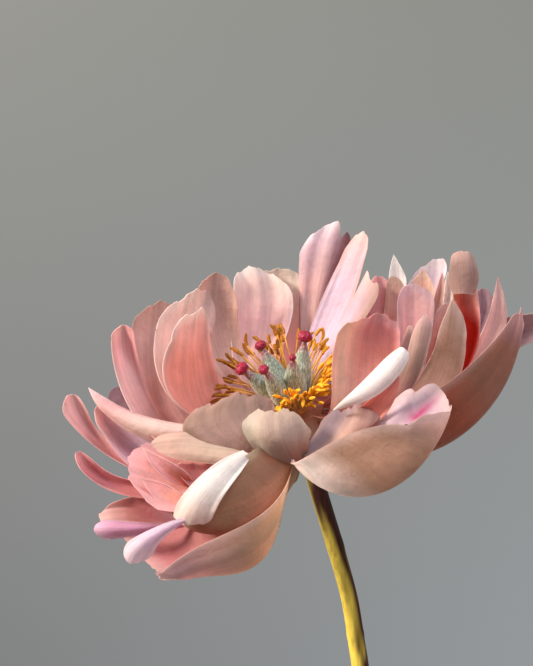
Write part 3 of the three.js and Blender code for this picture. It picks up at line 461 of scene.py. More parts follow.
# A row holds a name, a turn, the azimuth of the root on it (or the root itself, where the petal is
# rolled off another one), ribs of three points from left to right, the tip, shades from claw to tip
# (after a stroke those of the outer face, where they differ; some are painted light or shade, as noted
# at their rows), the shade of the margin, and anything special: claw, point, taper and notches (place,
# depth, width) shape the blade, and ruffle, folds and roll its relief in mm. A rim of -1 keeps the pale
# margin, with its painted highlight, to one side, a band (place across, reach, shade) colours one, at
# some rows as painted light or shade, a streak (place across, along) is magenta, and upright turns the
# veins.
PETALS = [
    # low at the front and left
    ("front_left_guard", "guard", 250,
     [(-20, -22, -27), (-9, -31, -42), (-8, -46, -29),
      (-44, -20, -36), (-22, -40, -55), (-26, -52, -41),
      (-63, -18, -41), (-41, -38, -55), (-49.3, -50.5, -55.3)], (-50.5, -42, -55.5),
     "cream shell coral rose rose / cream wheat wheat bisque dusty mauve", "shell",
     {"claw": 0.04, "taper": 0.2, "point": 0.5}),
    ("front_trough", "guard", 246,
     [(-25, -14, -9), (-12, -32, -34), (-14, -36.5, -9.5),
      (-44, -24, -26), (-32, -36, -41), (-33, -40.3, -20.5)], (-43, -36, -35),
     "orange coral blush / orange bisque tan bark tan", "straw", {"claw": 0.02}),
    ("front_trough_flap", "free", (-18.5, -38.2, -12),
     [(-30.6, -40.6, -17), (-27.5, -43, -19.5), (-22.5, -42, -21),
      (-43.5, -40, -30.5), (-38, -44, -32.5), (-30, -44, -33.5)], (-39.5, -41, -37.5),
     "white white shell", "white", {"claw": 0.4, "taper": -0.3}),
    ("left_bowl", "middle", 215,
     [(-34, -14, -14), (-38, -24, -24), (-30, -36, -33),
      (-54, -14, -8), (-56, -22, -20), (-50, -36, -32)], (-61, -22, -18),
     "orange coral pink / blush pink blush", "blush"),
    ("rosette_upper", "free", (-38, -24, -24),
     [(-42, -30, -17), (-46, -28, -19), (-48, -30, -21)], (-56, -26, -10),
     "coral coral pink pink", "shell", {"point": 0.6}),
    ("rosette_lower", "free", (-40, -34, -31),
     [(-46, -31, -24), (-48, -30, -26), (-50, -31, -30)], (-57, -28, -21),
     "coral coral pink pink", "shell", {"point": 0.6}),
    ("rosette_right", "free", (-34, -27, -28),
     [(-44, -27, -18), (-36, -26, -20), (-28, -27, -18)], (-38, -27, -15.5),
     "coral pink pink", "blush"),
    ("left_tongue", "inner", 208,
     [(-20, -20, -5), (-19, -30, -10), (-15, -34, -17),
      (-42, -22, -4), (-43, -27, -8), (-40, -29, -15)], (-52.5, -24.5, -9),
     "peach sand sand dusty", "sand"),
    # Painted shadow: the grey ash and putty shades stand for the shadow that the left cups cast on it.
    ("front_left_fan", "inner", 235,
     [(-33, -27, -11), (-20, -32, -8), (-7, -28, -1),
      (-42, -24, -3.5), (-27, -29, 0), (-8, -24, 4.5)], (-24, -25, 9),
     "ash ash ash putty", "dusty", {"ruffle": 0.2}),
    # Painted light: the pale bone band down its left side is where the key light falls.
    ("front_flap", "inner", 280,
     [(-13, -32, -12.5), (-4, -35, -14), (3, -31, -11),
      (-19.5, -36, -4), (-8, -42, -6), (4.5, -35, -4.5)], (-8, -34, 3),
     "ash ash sand", "sand", {"band": (-0.8, 0.45, "bone"), "ruffle": 0.1}),
    ("front_right_lip", "inner", 300,
     [(2, -27, -9), (9, -34, -11), (18, -31, -8),
      (8, -26, -0.5), (18, -32, -2.5), (31, -27, 1)], (20, -28, 5.2),
     "clay clay peach dusty", "lavender", {"band": (-0.65, 0.5, "heather")}),
    # Painted light and shade: its outer face runs from white at the lit left end to tan and dusty at the
    # shaded right end.
    ("front_right_bowl", "guard", 300,
     [(12, -16, -13), (4, -34, -20), (-0.3, -42, -15),
      (31, -24, 4.5), (23, -43, -27.5), (14, -49, -7.2),
      (42, -28, 10), (42, -43, -19), (40, -49, -1.8)], (54.5, -38, 5),
     "coral peach lilac lavender / white white white tan tan dusty", "shell",
     {"upright": 1, "claw": 0.06, "taper": 0.7, "streak": (-0.8, 0.84)}),
    # right
    # Painted shade: its outer face is russet and brown for the shade it stands in, facing away from the
    # key light.
    ("right_guard", "guard", 350,
     [(52, 16, 10), (51, -10, -10), (50.5, -22, 11),
      (78.5, 3, 32), (75.2, -6, 15), (76.3, -15, 37)], (79.4, -7, 40),
     "coral pink pink / russet russet russet russet brown brown mauve", "dusty",
     {"point": 0.5, "taper": 0.3}),
    ("right_inner_wall", "middle", 345,
     [(40, -8, 10), (46, -8, 8), (54, -4, 8),
      (49, -6, 26), (54, -3, 28), (60.5, -1, 28)], (55.5, -2, 43),
     "peach peach peach tan sand", "shell", {"point": 0.3}),
    # Painted glow: its flame red stands for light glowing through the stacked petals.
    ("right_tall", "middle", 10,
     [(57, 0, 28), (60, 5, 26), (65, 2, 30),
      (56, 2, 46), (60, 6, 46), (64.5, 4, 44)], (59.5, 4, 60.5),
     "flame flame flame flame flame flame coral dusty", "blush"),
    ("right_tall_tip", "free", (59.6, 0, 45.5),
     [(54.4, 0.5, 50.5), (59.5, -1.2, 51), (64.6, 1, 50),
      (55, 0.5, 57), (59.3, -1, 58), (63.2, 1.5, 57)], (58.4, 3.4, 61),
     "dusty ash dusty", "sand", {"roll": 0, "folds": 0.7, "claw": 0.7, "notches": [[0.35, 0.1, 0.16]]}),
    ("right_back_dark", "guard", 20,
     [(63, 16, 40), (66, 18, 38), (70, 15, 40)], (66.5, 16, 47.5), "plum mauve mauve", "mauve"),
    ("right_spike", "guard", 12,
     [(62, 8, 24), (66, 10, 22), (72, 8, 24),
      (69, 9, 38), (71.5, 11, 38), (75, 9, 38)], (72, 9, 52),
     "rose dusty blush", "shell", {"point": 0.9}),
    ("right_lobed", "guard", 35,
     [(39, 22, 46), (46, 24, 44), (53, 20, 52)], (48, 22, 57), "lilac mist mist", "white"),
    ("right_round", "inner", 10,
     [(35.5, -6, 25), (40, -4, 24), (46, -5, 24),
      (36, -5, 41), (42, -3, 40), (49, -5, 41)], (42, -5, 49), "coral coral pink blush", "lilac"),
    ("right_peach", "middle", 42,
     [(41, 15, 48), (45, 16, 47), (49, 15, 46)], (45, 15, 54),
     "coral peach peach", "cream", {"point": 0.4}),
    ("right_coral_strip", "middle", 36,
     [(49.5, 11, 45), (51, 12, 45), (53, 11, 45)], (52, 11, 53),
     "coral coral dusty", "blush", {"point": 0.5}),
    ("right_white_strip", "middle", 30,
     [(53, 8, 46), (54.5, 9, 46), (56.5, 8, 46)], (54, 8, 53.5),
     "cream white white", "white", {"point": 0.5}),
    ("right_curl", "inner", 352,
     [(46.5, -3, 24), (49, 0, 25), (52, 0, 26),
      (49, -3, 37), (52, 0, 38), (55, -1, 39)], (53.5, -1, 42.5), "coral coral coral blush", "shell"),
    ("right_narrow", "inner", 345,
     [(36, -22, 14), (39, -23, 12), (43, -21, 15),
      (41, -18, 29), (44, -20, 28), (47.8, -17, 30)], (46, -16, 38.5),
     "clay rose clay dusty", "blush", {"point": 0.3}),
    # Painted shade: its mauve stands for the shade that it lies in.
    ("right_narrow_back", "inner", 345,
     [(36.5, -10, 26), (38.5, -12, 26), (41, -12, 28)], (40, -10, 34), "mauve mauve dusty", "dusty"),
    ("white_lens", "free", (13, -30, 3.5),
     [(20.5, -34, 11), (22.4, -35.5, 9), (24.4, -34, 7),
      (29.2, -32.5, 19.7), (32, -35, 17), (34.6, -33.2, 14.3),
      (36.2, -31, 25.7), (38, -32.8, 24), (39.7, -31.5, 22.2)], (38.8, -31.5, 25),
     "white white white", "white", {"taper": 0, "roll": 0.15}),
    ("lens_under", "middle", 325,
     [(30, -33.2, 12), (31, -30, 8), (32, -28, 2.5)], (36.3, -31, 15.6), "rose coral coral", "coral"),
    ("right_inner_cup", "inner", 330,
     [(12, -24, 8), (22, -21, 6), (33, -19, 9),
      (13.5, -20, 29), (25, -14, 28), (37, -13, 30)], (28, -14, 38),
     "peach coral coral salmon rose", "blush", {"band": (-0.8, 0.45, "peach")}),
    # back
    ("back_right_a", "middle", 40,
     [(25.5, 8, 45), (29, 10, 44), (34, 8, 44)], (29, 8, 52), "coral pink pink", "blush"),
    ("back_right_b", "middle", 35,
     [(32, 6, 46), (35, 7, 45), (38.5, 6, 46)], (34.5, 6, 51.7), "coral coral dusty", "sand"),
    ("back_right_spike", "guard", 45,
     [(33, 14, 52), (35.5, 15, 50), (39, 14, 50)], (34.5, 14, 59.8),
     "blush white white", "white", {"point": 0.7}),
    ("back_right_low", "inner", 50,
     [(17, 16, 33), (21, 17, 33), (24, 16, 36)], (22, 16, 39), "mauve lilac pink", "blush"),
    # Painted shadow: the rosewood band down its right side is the shadow of back_tall_right.
    ("back_tall_left", "inner", 85,
     [(0.5, 28, 40), (5, 26, 40), (12, 28, 41),
      (0.5, 28, 60), (9, 26, 62), (19.5, 28, 61.5)], (12.5, 26, 71),
     "dusty dusty blush lilac / dusty dusty blush blush", "white",
     {"notches": [[0.55, 0.06, 0.12]], "band": (0.85, 0.45, "rosewood"), "folds": 0.6}),
    ("back_tall_right", "inner", 68,
     [(7.5, 20, 40), (13, 18, 35.5), (20, 6, 31),
      (15, 20, 57), (19.8, 16, 51.5), (28, 2, 44)], (24.3, 15, 66.5),
     "lilac lilac lilac blush", "shell",
     {"notches": [[0.27, 0.28, 0.11], [0.6, 0.13, 0.3]], "band": (1, 0.22, "ash")}),
    ("back_left_wide", "inner", 120,
     [(-24, 17, 27), (-14, 20, 27), (-5, 18, 28),
      (-23, 22, 49), (-12, 26, 46), (-2, 24, 44)], (-14, 27, 54.5),
     "lilac blush blush shell", "white", {"folds": 0.9}),
    ("back_left_lobe", "inner", 135,
     [(-31, 12, 22), (-26, 16, 22), (-20, 16, 24),
      (-37, 12, 42), (-30, 17, 42), (-22, 14, 40)], (-29, 14, 52.5), "pink dusty dusty", "dusty"),
    ("back_pale", "middle", 100,
     [(-14, 28, 50), (-6, 31, 44), (1, 28, 50)], (-7, 28, 53.8), "pink shell cream", "cream"),
    ("back_centre", "middle", 90,
     [(-6, 26, 36), (-2, 27, 34), (3, 26, 40)], (-1, 26, 45), "coral coral dusty", "blush"),
    ("hidden_back", "guard", 100,
     [(-26, 32, 16), (-6, 36, 8), (14, 32, 14),
      (-34, 48, 28), (-8, 58, 24), (18, 48, 28)], (-8, 64, 36),
     "coral pink blush / sand dusty blush", "pink"),
    ("hidden_back_right", "guard", 62,
     [(6, 28, 12), (24, 30, 4), (38, 18, 8),
      (14, 46, 30), (34, 50, 18), (52, 30, 24)], (38, 54, 32),
     "coral pink blush / sand dusty blush", "pink"),
    ("hidden_back_left", "guard", 145,
     [(-40, 14, 6), (-28, 26, 2), (-14, 32, 10),
      (-54, 22, 22), (-44, 38, 18), (-26, 48, 28)], (-48, 42, 32),
     "coral pink blush / sand dusty blush", "pink"),
    # left
    ("left_inner_cup", "inner", 188,
     [(-45, -16, 8), (-34, -4, 4), (-26, 4, 9),
      (-44.8, -18, 28), (-38, -6, 28), (-31.5, -2, 31)], (-36, -12, 39),
     "coral coral coral blush / pink blush shell", "white"),
    ("left_second_cup", "middle", 178,
     [(-48, -8, 12), (-40, 1, 8), (-32, 6, 14),
      (-51, -5, 28), (-42, 3, 26), (-30, 4, 36)], (-38, -1, 45.5),
     "pink blush shell shell / pink blush blush", "white", {"rim": -1}),
    ("left_third_cup", "guard", 168,
     [(-57, 5, 12), (-50, 9, 8), (-42, 11, 12),
      (-60, 9, 30), (-52, 13, 28), (-44, 13, 34)], (-51, 11, 42), "pink blush dusty", "dusty"),
    ("left_channel", "guard", 180,
     [(-62, -8, 8), (-58, 0, 10), (-53, 0, 8),
      (-67, -4, 29.5), (-63, 0, 30), (-59.3, -4, 30.5)], (-63, -2, 33.8),
     "rose pink blush blush pink", "shell", {"rim": -1}),
    ("left_dark", "guard", 160,
     [(-67, 16, 6), (-62, 17, 7), (-60, 16, 9)], (-66, 16, 11.5), "mauve mauve mauve", "mauve"),
    ("left_pointed", "middle", 203,
     [(-50, -10, 0), (-52, -14, -3), (-55, -11, -7),
      (-65, -7, 5.5), (-66.5, -11, 3), (-69, -9, 1.5)], (-75.5, -7, 11.8),
     "pink shell shell pink", "white", {"point": 0.4}),
    ("left_folded", "guard", 198,
     [(-57, -6, -6), (-58, -2, -12), (-60, -10, -17),
      (-68, -6, 1.5), (-68, -2, -3), (-70, -8, -5)], (-73, -6, 4), "blush blush lilac blush", "blush"),
    ("left_spoon", "guard", 188,
     [(-69.7, 4, -6.7), (-71, 6, -8.5), (-73, 1, -9.5),
      (-75.8, 4, 2.2), (-79, 6.5, 2.5), (-84, 1, 1.5)], (-81.2, 4, 9.3),
     "pink rose pink blush / blush pink blush", "blush"),
    ("left_low_horn", "guard", 208,
     [(-60, -8, -22), (-61, -6, -24.5), (-62, -12, -27),
      (-72, -8, -16.5), (-74, -6, -19), (-76, -12, -20)], (-79.5, -8, -11.5),
     "crimson rose rose / rose pink pink", "blush"),
    ("low_left_fan", "guard", 220,
     [(-54, -12, -29), (-52, -12, -35), (-50, -20, -38),
      (-64, -14, -30), (-66, -14, -33), (-68, -22, -36.5)], (-71.5, -16, -34.5),
     "plum plum mauve rose dusty", "blush", {"ruffle": 0.5, "folds": 0.4}),
    ("low_left_lilac", "guard", 230,
     [(-52, -28, -37.5), (-54, -31, -39), (-54, -29, -41),
      (-68, -28, -36.5), (-69, -32, -39.5), (-68, -29, -43)], (-73.5, -30, -39.5),
     "pink orchid orchid", "lilac"),
    ("low_left_spoon", "free", (-38.8, -41.5, -35.6),
     [(-50, -44, -38.3), (-49.5, -46, -40.2), (-48, -44, -41.5),
      (-60.8, -43, -43.8), (-57.5, -47, -46), (-52.3, -43, -48)], (-60.5, -43, -51.2),
     "lilac lilac mist", "mist"),
    ("right_edge", "guard", 28,
     [(50, 38, 30), (52, 42, 22), (56, 36, 14),
      (82, 27, 37.5), (85, 32, 32), (82, 27, 27.5)], (93, 26, 34), "tan dusty mauve", "dusty"),
]

# Peony petal: satin skin that lets light through, with fine veins that fan out from the claw, sixty
# across the blade, broader streaks, and faint clouding a centimetre across.
petal_satin, tree, place = new_material("peony_petal_satin")
plan = place.node.outputs["UV"]
tint = add(tree, "Attribute", attribute_name="tint")
fan = add(tree, "Mapping", {"Vector": plan, "Scale": (60, 1.1, 1)})
vein = noise(tree, fan, 1, 4, 0.6, noise_dimensions="2D")
share = add(tree, "MapRange", {"Value": vein, "From Min": 0.42, "From Max": 0.78, "To Max": 0.1})
broad = add(tree, "Mapping", {"Vector": plan, "Scale": (11, 1.6, 1)})
streak = noise(tree, broad, 1, 4, noise_dimensions="2D")
cloud = noise(tree, place, 0.11 / MM, 4, 0.6)
streaking, mottling = (
    add(tree, "MapRange", {"Value": pattern, "From Min": 0.3, "From Max": 0.7, "To Min": darkest,
                           "To Max": 1.06})
    for pattern, darkest in ((streak, 0.89), (cloud, 0.9)))
value = add(tree, "Math", {0: streaking, 1: mottling}, operation="MULTIPLY")
veined = mix(tree, share, tint, "e0707c", blend_type="MULTIPLY")
clouded = add(tree, "HueSaturation", {"Color": veined, "Value": value})
crumpled = raised(tree, cloud, 0.5, 2)
ribbed = add(tree, "Bump", {"Height": vein, "Strength": 0.3, "Distance": 0.3 * MM,
                            "Normal": crumpled})
face = add(tree, "BsdfPrincipled", {"Base Color": clouded, "Roughness": 0.55, "IOR": 1.35,
                                    "Sheen Weight": 0.25, "Sheen Roughness": 0.35, "Normal": ribbed})
through = add(tree, "BsdfTranslucent", {"Color": clouded, "Normal": ribbed})
add(tree, "OutputMaterial", {"Surface": add(tree, "MixShader", {"Fac": 0.5, 1: face, 2: through})})


def smooth(share):
    """From 0 to 1 with level ends: three times the square less twice the cube."""
    share = np.clip(share, 0, 1)
    return share * share * (3 - 2 * share)


def gradient(names, margin, along, edge):
    """Colours from claw to tip through the named shades, turning to the margin's at the edge."""
    stops = np.array([linear(SHADES[name]) for name in names.split()])
    spread = np.linspace(0, 1, len(stops)) ** 0.9
    colours = np.stack([np.interp(along, spread, stops[:, k]) for k in range(3)], axis=-1)
    return blend(colours, linear(SHADES[margin]), edge[..., None])


def petal_grid(root, ribs, tip, shape, draw):
    """A petal's middle surface with life in it: its margin is drawn a little uneven, its face has
    faint lengthwise folds, and its edge ripples and rolls back."""
    width = np.linalg.norm(ribs[-1, 2] - ribs[-1, 0])
    length = np.linalg.norm(tip - root)
    ruffle = shape.get("ruffle", min(MOST_RUFFLE, 0.02 * width))
    folds = shape.get("folds", USUAL_FOLDS)
    roll = shape.get("roll", min(MOST_ROLL, 0.04 * width))
    form = {key: shape[key] for key in ("claw", "point", "taper", "notches") if key in shape}
    steps = (int(np.clip(size / GRID_STEP, LEAST_STEPS, MOST_STEPS)) for size in (1.2 * width, length))
    across, along = blade_grid(*steps)
    heading = np.cross(ribs[-1, 2] - ribs[-1, 0], tip - ribs[0, 1])
    if np.dot(heading, BLOOM_AXIS * BLOOM_HEART - ribs[-1, 1]) < 0:
        across = -across
    turns = draw.uniform(0, 2 * np.pi, 6)
    aside = np.pi * width * across
    waves = sum(height * np.sin(aside / spacing + turns[k]) for spacing, height, k in MARGIN_WAVES)
    uneven = 1 + min(1, width / 20) / length * waves
    surface = blade_surface(root, ribs, tip, across, along * uneven, **form)
    edge = np.maximum(np.abs(across), along)
    off_claw = smooth(2.5 * along)
    out = smooth((edge - 0.45) / 0.55) * off_claw
    ripple = np.sin(aside / 16 + 4 * along + turns[2]) + 0.5 * np.sin(aside / 8 + turns[3])
    lift = ruffle * out * ripple + folds * np.cos(aside / 11 + turns[4]) * smooth(1.5 * along)
    lift = lift - roll * smooth((edge - 0.8) / 0.2) * off_claw
    return surface + lift[..., None] * unit_normals(surface), across, along, edge


obstacles = []  # points and faces that the stamens keep clear of
draw = np.random.default_rng(11)
for name, turn, root, ribs, tip, looks, margin, *special in PETALS:
    shape = dict(*special)
    start = seen(root) if turn == "free" else on_axis(root, *PETAL_TURNS[turn])
    ribs = seen(ribs).reshape(-1, 3, 3)
    surface, across, along, edge = petal_grid(start, ribs, seen(tip), shape, draw)
    points, faces = blade_solid(surface, PETAL_THICKNESS * (1.5 - 0.8 * edge))
    piece = put("petal_" + name, place_bloom(points), faces, petal_satin, ["petals"])
    # The pale margin: partly the petal's own paler edge, partly a painted highlight where the rolled
    # edge catches the light.
    rim = 0.5 * smooth((edge - 0.9) / 0.1) * smooth((along - 0.2) / 0.4)
    if "rim" in shape:
        rim = rim * smooth(1 + 2 * shape["rim"] * across)
    inside, _, outside = looks.partition(" / ")
    tints = np.stack([gradient(look, margin, along, rim) for look in (inside, outside or inside)])
    if "streak" in shape:
        middle, height = shape["streak"]
        aside, up = (across - middle) / STREAK_REACH[0], (along - height) / STREAK_REACH[1]
        share = np.exp(-aside ** 2 - up ** 2)[..., None]
        tints[0] = blend(tints[0], linear(SHADES["magenta"]), share)
    if "band" in shape:
        middle, reach, shade = shape["band"]
        share = np.exp(-((across - middle) / reach) ** 2)[..., None]
        tints = blend(tints, linear(SHADES[shade]), share)
    paint(piece, tints)
    plan = np.stack([(across + 1) / 2, along], axis=-1).reshape(-1, 2)
    if "upright" in shape:
        plan = plan[:, ::-1]
    corner = np.empty(len(piece.data.loops), np.int32)
    piece.data.loops.foreach_get("vertex_index", corner)
    flat = piece.data.uv_layers.new(name="blade")
    flat.uv.foreach_set("vector", np.tile(plan, (2, 1))[corner].astype(np.float32).ravel())
    obstacles.append((points.reshape(-1, 3), faces))

seat = put_turned("petal_seat", SEAT, SEAT_POINTS, SEAT_SIDES, petal_satin, ["petals"])
paint(seat, linear(SHADES["peach"]))

# -------- carpels
# Five young seed flasks on one fleshy disc: grey-green, thick with silvery down, each with a seam
# down its inner side and a reddened beak.
STAMEN_RING_TOP = 6.4
CARPEL_BOTTOM = STAMEN_RING_TOP + 0.3
CARPEL_RADIUS = 4.2
BEAK_RADIUS = 0.8
CARPELS = [  # azimuth, radius and height of the beak, stigma radius
    (195, 12.4, 26, 2.6),
    (130, 8, 28, 2.2),
    (240, 9, 26.5, 2),
    (315, 8, 27.5, 1.4),
    (30, 11.5, 27, 2.7),
]
CARPEL_RINGS, CARPEL_SIDES = 40, 36
SEAM_DEPTH, SEAM_WIDTH = 0.16, 0.22  # share of the radius, and radians
DISC = [(PINHOLE, CARPEL_BOTTOM), (4.2, CARPEL_BOTTOM), (4.6, CARPEL_BOTTOM + 0.7),
        (4.3, CARPEL_BOTTOM + 1.8), (PINHOLE, CARPEL_BOTTOM + 2)]
DISC_POINTS, DISC_SIDES = 20, 30


def bezier(start, bend, end, t):
    """A curve that leaves start towards bend and reaches end from it."""
    t = np.asarray(t, float)[..., None]
    return start * (1 - t) ** 2 + 2 * bend * t * (1 - t) + end * t ** 2


def carpel_line(azimuth, radius, height, t):
    """A flask's midline: it rises from the disc and bends outward to its beak."""
    start = on_axis(azimuth, 2.3, CARPEL_BOTTOM + 1.3)
    bend = on_axis(azimuth, 0.55 * radius, 0.6 * height)
    return bezier(start, bend, on_axis(azimuth, radius, height), t)


# Silvery down: hairs a third of a millimetre apart, lying along the flask, that catch the light.
down = plant_skin("carpel_down", (2.6, 2.6, 0.5), 2, (0.45, 0.7, 0.55), "e9eadf", (0.7, 0.3),
                  {"Roughness": 0.75, "IOR": 1.4, "Sheen Weight": 0.6, "Sheen Roughness": 0.4})
flask_share = np.linspace(0, 1, CARPEL_RINGS)[:, None]
flask_angle = circle(CARPEL_SIDES)
flask_belly = np.maximum(0, np.sin(np.pi * (0.12 + 0.88 * flask_share) ** 0.9))
seam = np.exp(-((np.mod(flask_angle + np.pi / 2, 2 * np.pi) - np.pi) / SEAM_WIDTH) ** 2)
flask_radii = BEAK_RADIUS + (CARPEL_RADIUS - BEAK_RADIUS) * flask_belly
flask_radii = flask_radii * (1 - SEAM_DEPTH * seam + 0.02 * np.cos(3 * flask_angle + 6 * flask_share))
# Painted shade: the flasks darken to a deep olive towards the disc, where they stand in shade.
flask_tint_and_shade = blend(linear("7c8371"), linear("454f2c"), smooth(1 - flask_share / 0.35))
flask_tint_and_shade = blend(flask_tint_and_shade, linear("8e3a4c"), smooth((flask_share - 0.8) / 0.2))
for number, (azimuth, radius, height, _) in enumerate(CARPELS, 1):
    line = carpel_line(azimuth, radius, height, flask_share[:, 0])[None]
    rings = tubes(line, flask_radii[None], CARPEL_SIDES, on_axis(azimuth, 1, 0))
    paint(put_rings(f"carpel_{number}", rings, down, ["carpels"]), flask_tint_and_shade)
    obstacles.append((rings.reshape(-1, 3), ring_faces(rings)))

disc = put_turned("carpel_disc", DISC, DISC_POINTS, DISC_SIDES, down, ["carpels"])
paint(disc, linear("b8a06a"))

# -------- stigmas
# Each beak carries a stigma: a crimson crest of folded, sticky tissue, rolled over on itself.
# It is moist and warty, and it grows on the flask's tip.
STIGMA_SQUASH = 0.8
CREST_RINGS, CREST_SIDES = 33, 48
CREST_FOLD = 0.05

# Moist stigma tissue: warty, with bumps half a millimetre across, and painted shade darkening the
# hollows between.
stigma_flesh, tree, place = new_material("stigma_tissue")
wart = add(tree, "TexVoronoi", {"Vector": place, "Scale": 2.2 / MM})
# Painted shade: the colour darkens from each bump's middle to the hollows between.
put_out(tree, {"Base Color": mix(tree, wart, "b80c40", "5c081e"), "Roughness": 0.4, "IOR": 1.4,
               "Sheen Weight": 0.1, "Normal": raised(tree, wart, 0.6, 0.2, invert=True)})

crest_polar = np.linspace(0.02, np.pi - 0.02, CREST_RINGS)[:, None]
crest_angle = circle(CREST_SIDES)[None]
for number, (azimuth, radius, height, size) in enumerate(CARPELS, 1):
    tip, below = carpel_line(azimuth, radius, height, [1, 0.98])
    up = unit(tip - below)
    aside = unit(np.cross(up, on_axis(azimuth + 90, 1, 0)))
    folds = np.sin(5 * crest_angle + 3 * crest_polar + number - 1) * np.sin(crest_polar)
    creases = np.cos(11 * crest_angle - 5 * crest_polar)
    crest = size * (1 - CREST_FOLD + CREST_FOLD * folds + 0.03 * creases)
    flat = (crest * np.sin(crest_polar))[..., None]
    ball = (flat * np.cos(crest_angle)[..., None] * aside
            + flat * np.sin(crest_angle)[..., None] * np.cross(up, aside)
            - (crest * STIGMA_SQUASH * np.cos(crest_polar))[..., None] * up)
    centre = tip + up * (STIGMA_SQUASH * size + 0.1)
    put_rings(f"crest_{number}", ball + centre, stigma_flesh, [f"stigma_{number}"])

# -------- stamens
# A thick ring of stamens round the flasks: pale gold filaments, each with a long anther whose two
# lobes have split and curled. Those on the left are painted burnt orange as painted shade, and
# each anther's tone also differs a little at random.
STAMEN_RING_RADIUS = 5.6
STAMEN_COUNT = 165
GOLDEN_ANGLE = 137.508  # the turn from one stamen to the next
CROWDED_AT, CROWDING = 300, 24  # the azimuth that they are drawn to, and by how much
LEAST_LEAN, LEAN_SPREAD, LEAN_STEP = 14, 50, 0.7549
LEAN_LIMITS = (4, 74)
STAMEN_TRIES, STAMEN_SWAY = 24, 4
STAMEN_LENGTH, LENGTH_SPREAD, LENGTH_STEP = 16, 7, 0.5698
STAMEN_GAP = 1  # between a filament's middle and a petal or a carpel
STAMEN_POINTS, FILAMENT_SIDES = 14, 8
FILAMENT_RADIUS = 0.26
ANTHER_RADIUS = 0.68
ANTHER_LENGTH = 4.8
ANTHER_BEND, ANTHER_SWING = 3, 2.6
ANTHER_POINTS, ANTHER_SIDES = 11, 10
RING = [(PINHOLE, 4.3), (5.2, 4.3), (5.6, 4.7), (5.6, 6), (5.2, STAMEN_RING_TOP),
        (PINHOLE, STAMEN_RING_TOP)]
RING_POINTS, RING_SIDES = 24, 36


def stamen_line(azimuth, lean, length, sway):
    """A filament's curve: it leaves the ring at 0.7 of its lean, ends at 1.25 of it and sways aside."""
    start = on_axis(azimuth, STAMEN_RING_RADIUS - 0.9, STAMEN_RING_TOP - 0.7)
    outward = on_axis(azimuth, 1, 0)
    leave, arrive = (BLOOM_AXIS * np.cos(turn) + outward * np.sin(turn)
                     for turn in np.radians([0.7 * lean, 1.25 * lean]))
    bend = start + 0.5 * length * leave
    end = bend + 0.5 * length * arrive + on_axis(azimuth + 90, sway, 0)
    return bezier(start, bend, end, np.linspace(0, 1, STAMEN_POINTS))


shift = np.cumsum([0, *[len(points) for points, _ in obstacles]])
crowd = BVHTree.FromPolygons(
    np.concatenate([points for points, _ in obstacles]).tolist(),
    [[corner + int(first) for corner in face]
     for (_, faces), first in zip(obstacles, shift) for face in faces])
stamen_lines, stamen_azimuths = [], []
for number in range(STAMEN_COUNT):
    azimuth = number * GOLDEN_ANGLE % 360
    azimuth = azimuth - CROWDING * np.sin(np.radians(azimuth - CROWDED_AT))
    wish = LEAST_LEAN + LEAN_SPREAD * (number * LEAN_STEP % 1)
    length = (STAMEN_LENGTH + 3.5 * np.cos(np.radians(azimuth - 120))
              + LENGTH_SPREAD * (number * LENGTH_STEP % 1))
    for attempt in range(STAMEN_TRIES):
        lean = wish + (-1) ** attempt * 5 * np.ceil(attempt / 2)
        line = stamen_line(azimuth, lean, length, draw.uniform(-STAMEN_SWAY, STAMEN_SWAY))
        near = (crowd.find_nearest(Vector(point), STAMEN_GAP)[0] for point in line[3:])
        if LEAN_LIMITS[0] <= lean <= LEAN_LIMITS[1] and all(hit is None for hit in near):
            stamen_lines.append(line)
            stamen_azimuths.append(azimuth)
            break
stamen_lines, stamen_azimuths = np.array(stamen_lines), np.array(stamen_azimuths)
stamen_aside = on_axis(stamen_azimuths + 90, 1, 0)[:, None]
many = len(stamen_lines)

# Filaments are smooth and waxy. Anthers are dusted with grains of pollen, which are drawn a fifth of
# a millimetre across, coarser than life, to show.
wax, pollen = (
    plant_skin(name, (5, 5, 5), 2, (0.45, 0.7, dust), "ffd24a", (dust, 0.2),
               {"Roughness": roughness, "IOR": 1.4})
    for name, roughness, dust in (("filament_wax", 0.4, 0.1), ("anther_pollen", 0.75, 0.5)))
filament_rings = tubes(stamen_lines, np.full((many, STAMEN_POINTS, 1), FILAMENT_RADIUS), FILAMENT_SIDES,
                       stamen_aside)
filaments = put_rings("stamen_filaments", filament_rings, wax, ["stamens"])
rise = np.tile(np.linspace(0, 1, STAMEN_POINTS), many)[:, None]
paint(filaments, blend(linear("f0d08a"), linear("e2952a"), rise))

# Anthers sit on the filaments' ends, each bent its own way.
heading = unit(stamen_lines[:, -1:] - stamen_lines[:, -2:-1])
bend_way = np.cross(heading, stamen_aside)
share = np.linspace(-0.15, 0.85, ANTHER_POINTS)[None, :, None]
bend = draw.uniform(-ANTHER_BEND, ANTHER_BEND, (many, 1, 1))
swing = draw.uniform(-ANTHER_SWING, ANTHER_SWING, (many, 1, 1))
lengths = ANTHER_LENGTH * draw.uniform(0.75, 1.1, (many, 1, 1))
anther_lines = (stamen_lines[:, -1:] + heading * lengths * share
                + (bend_way * bend + stamen_aside * swing) * share ** 2)
plump = np.sqrt(np.clip(1 - np.linspace(-1, 1, ANTHER_POINTS) ** 4, 0.02, 1))[None, :, None]
lobed = 1 - 0.28 * np.cos(circle(ANTHER_SIDES)) ** 8
anther_rings = tubes(anther_lines, ANTHER_RADIUS * plump * lobed + np.zeros((many, 1, 1)), ANTHER_SIDES,
                     stamen_aside)
anthers = put_rings("stamen_anthers", anther_rings, pollen, ["stamens"])
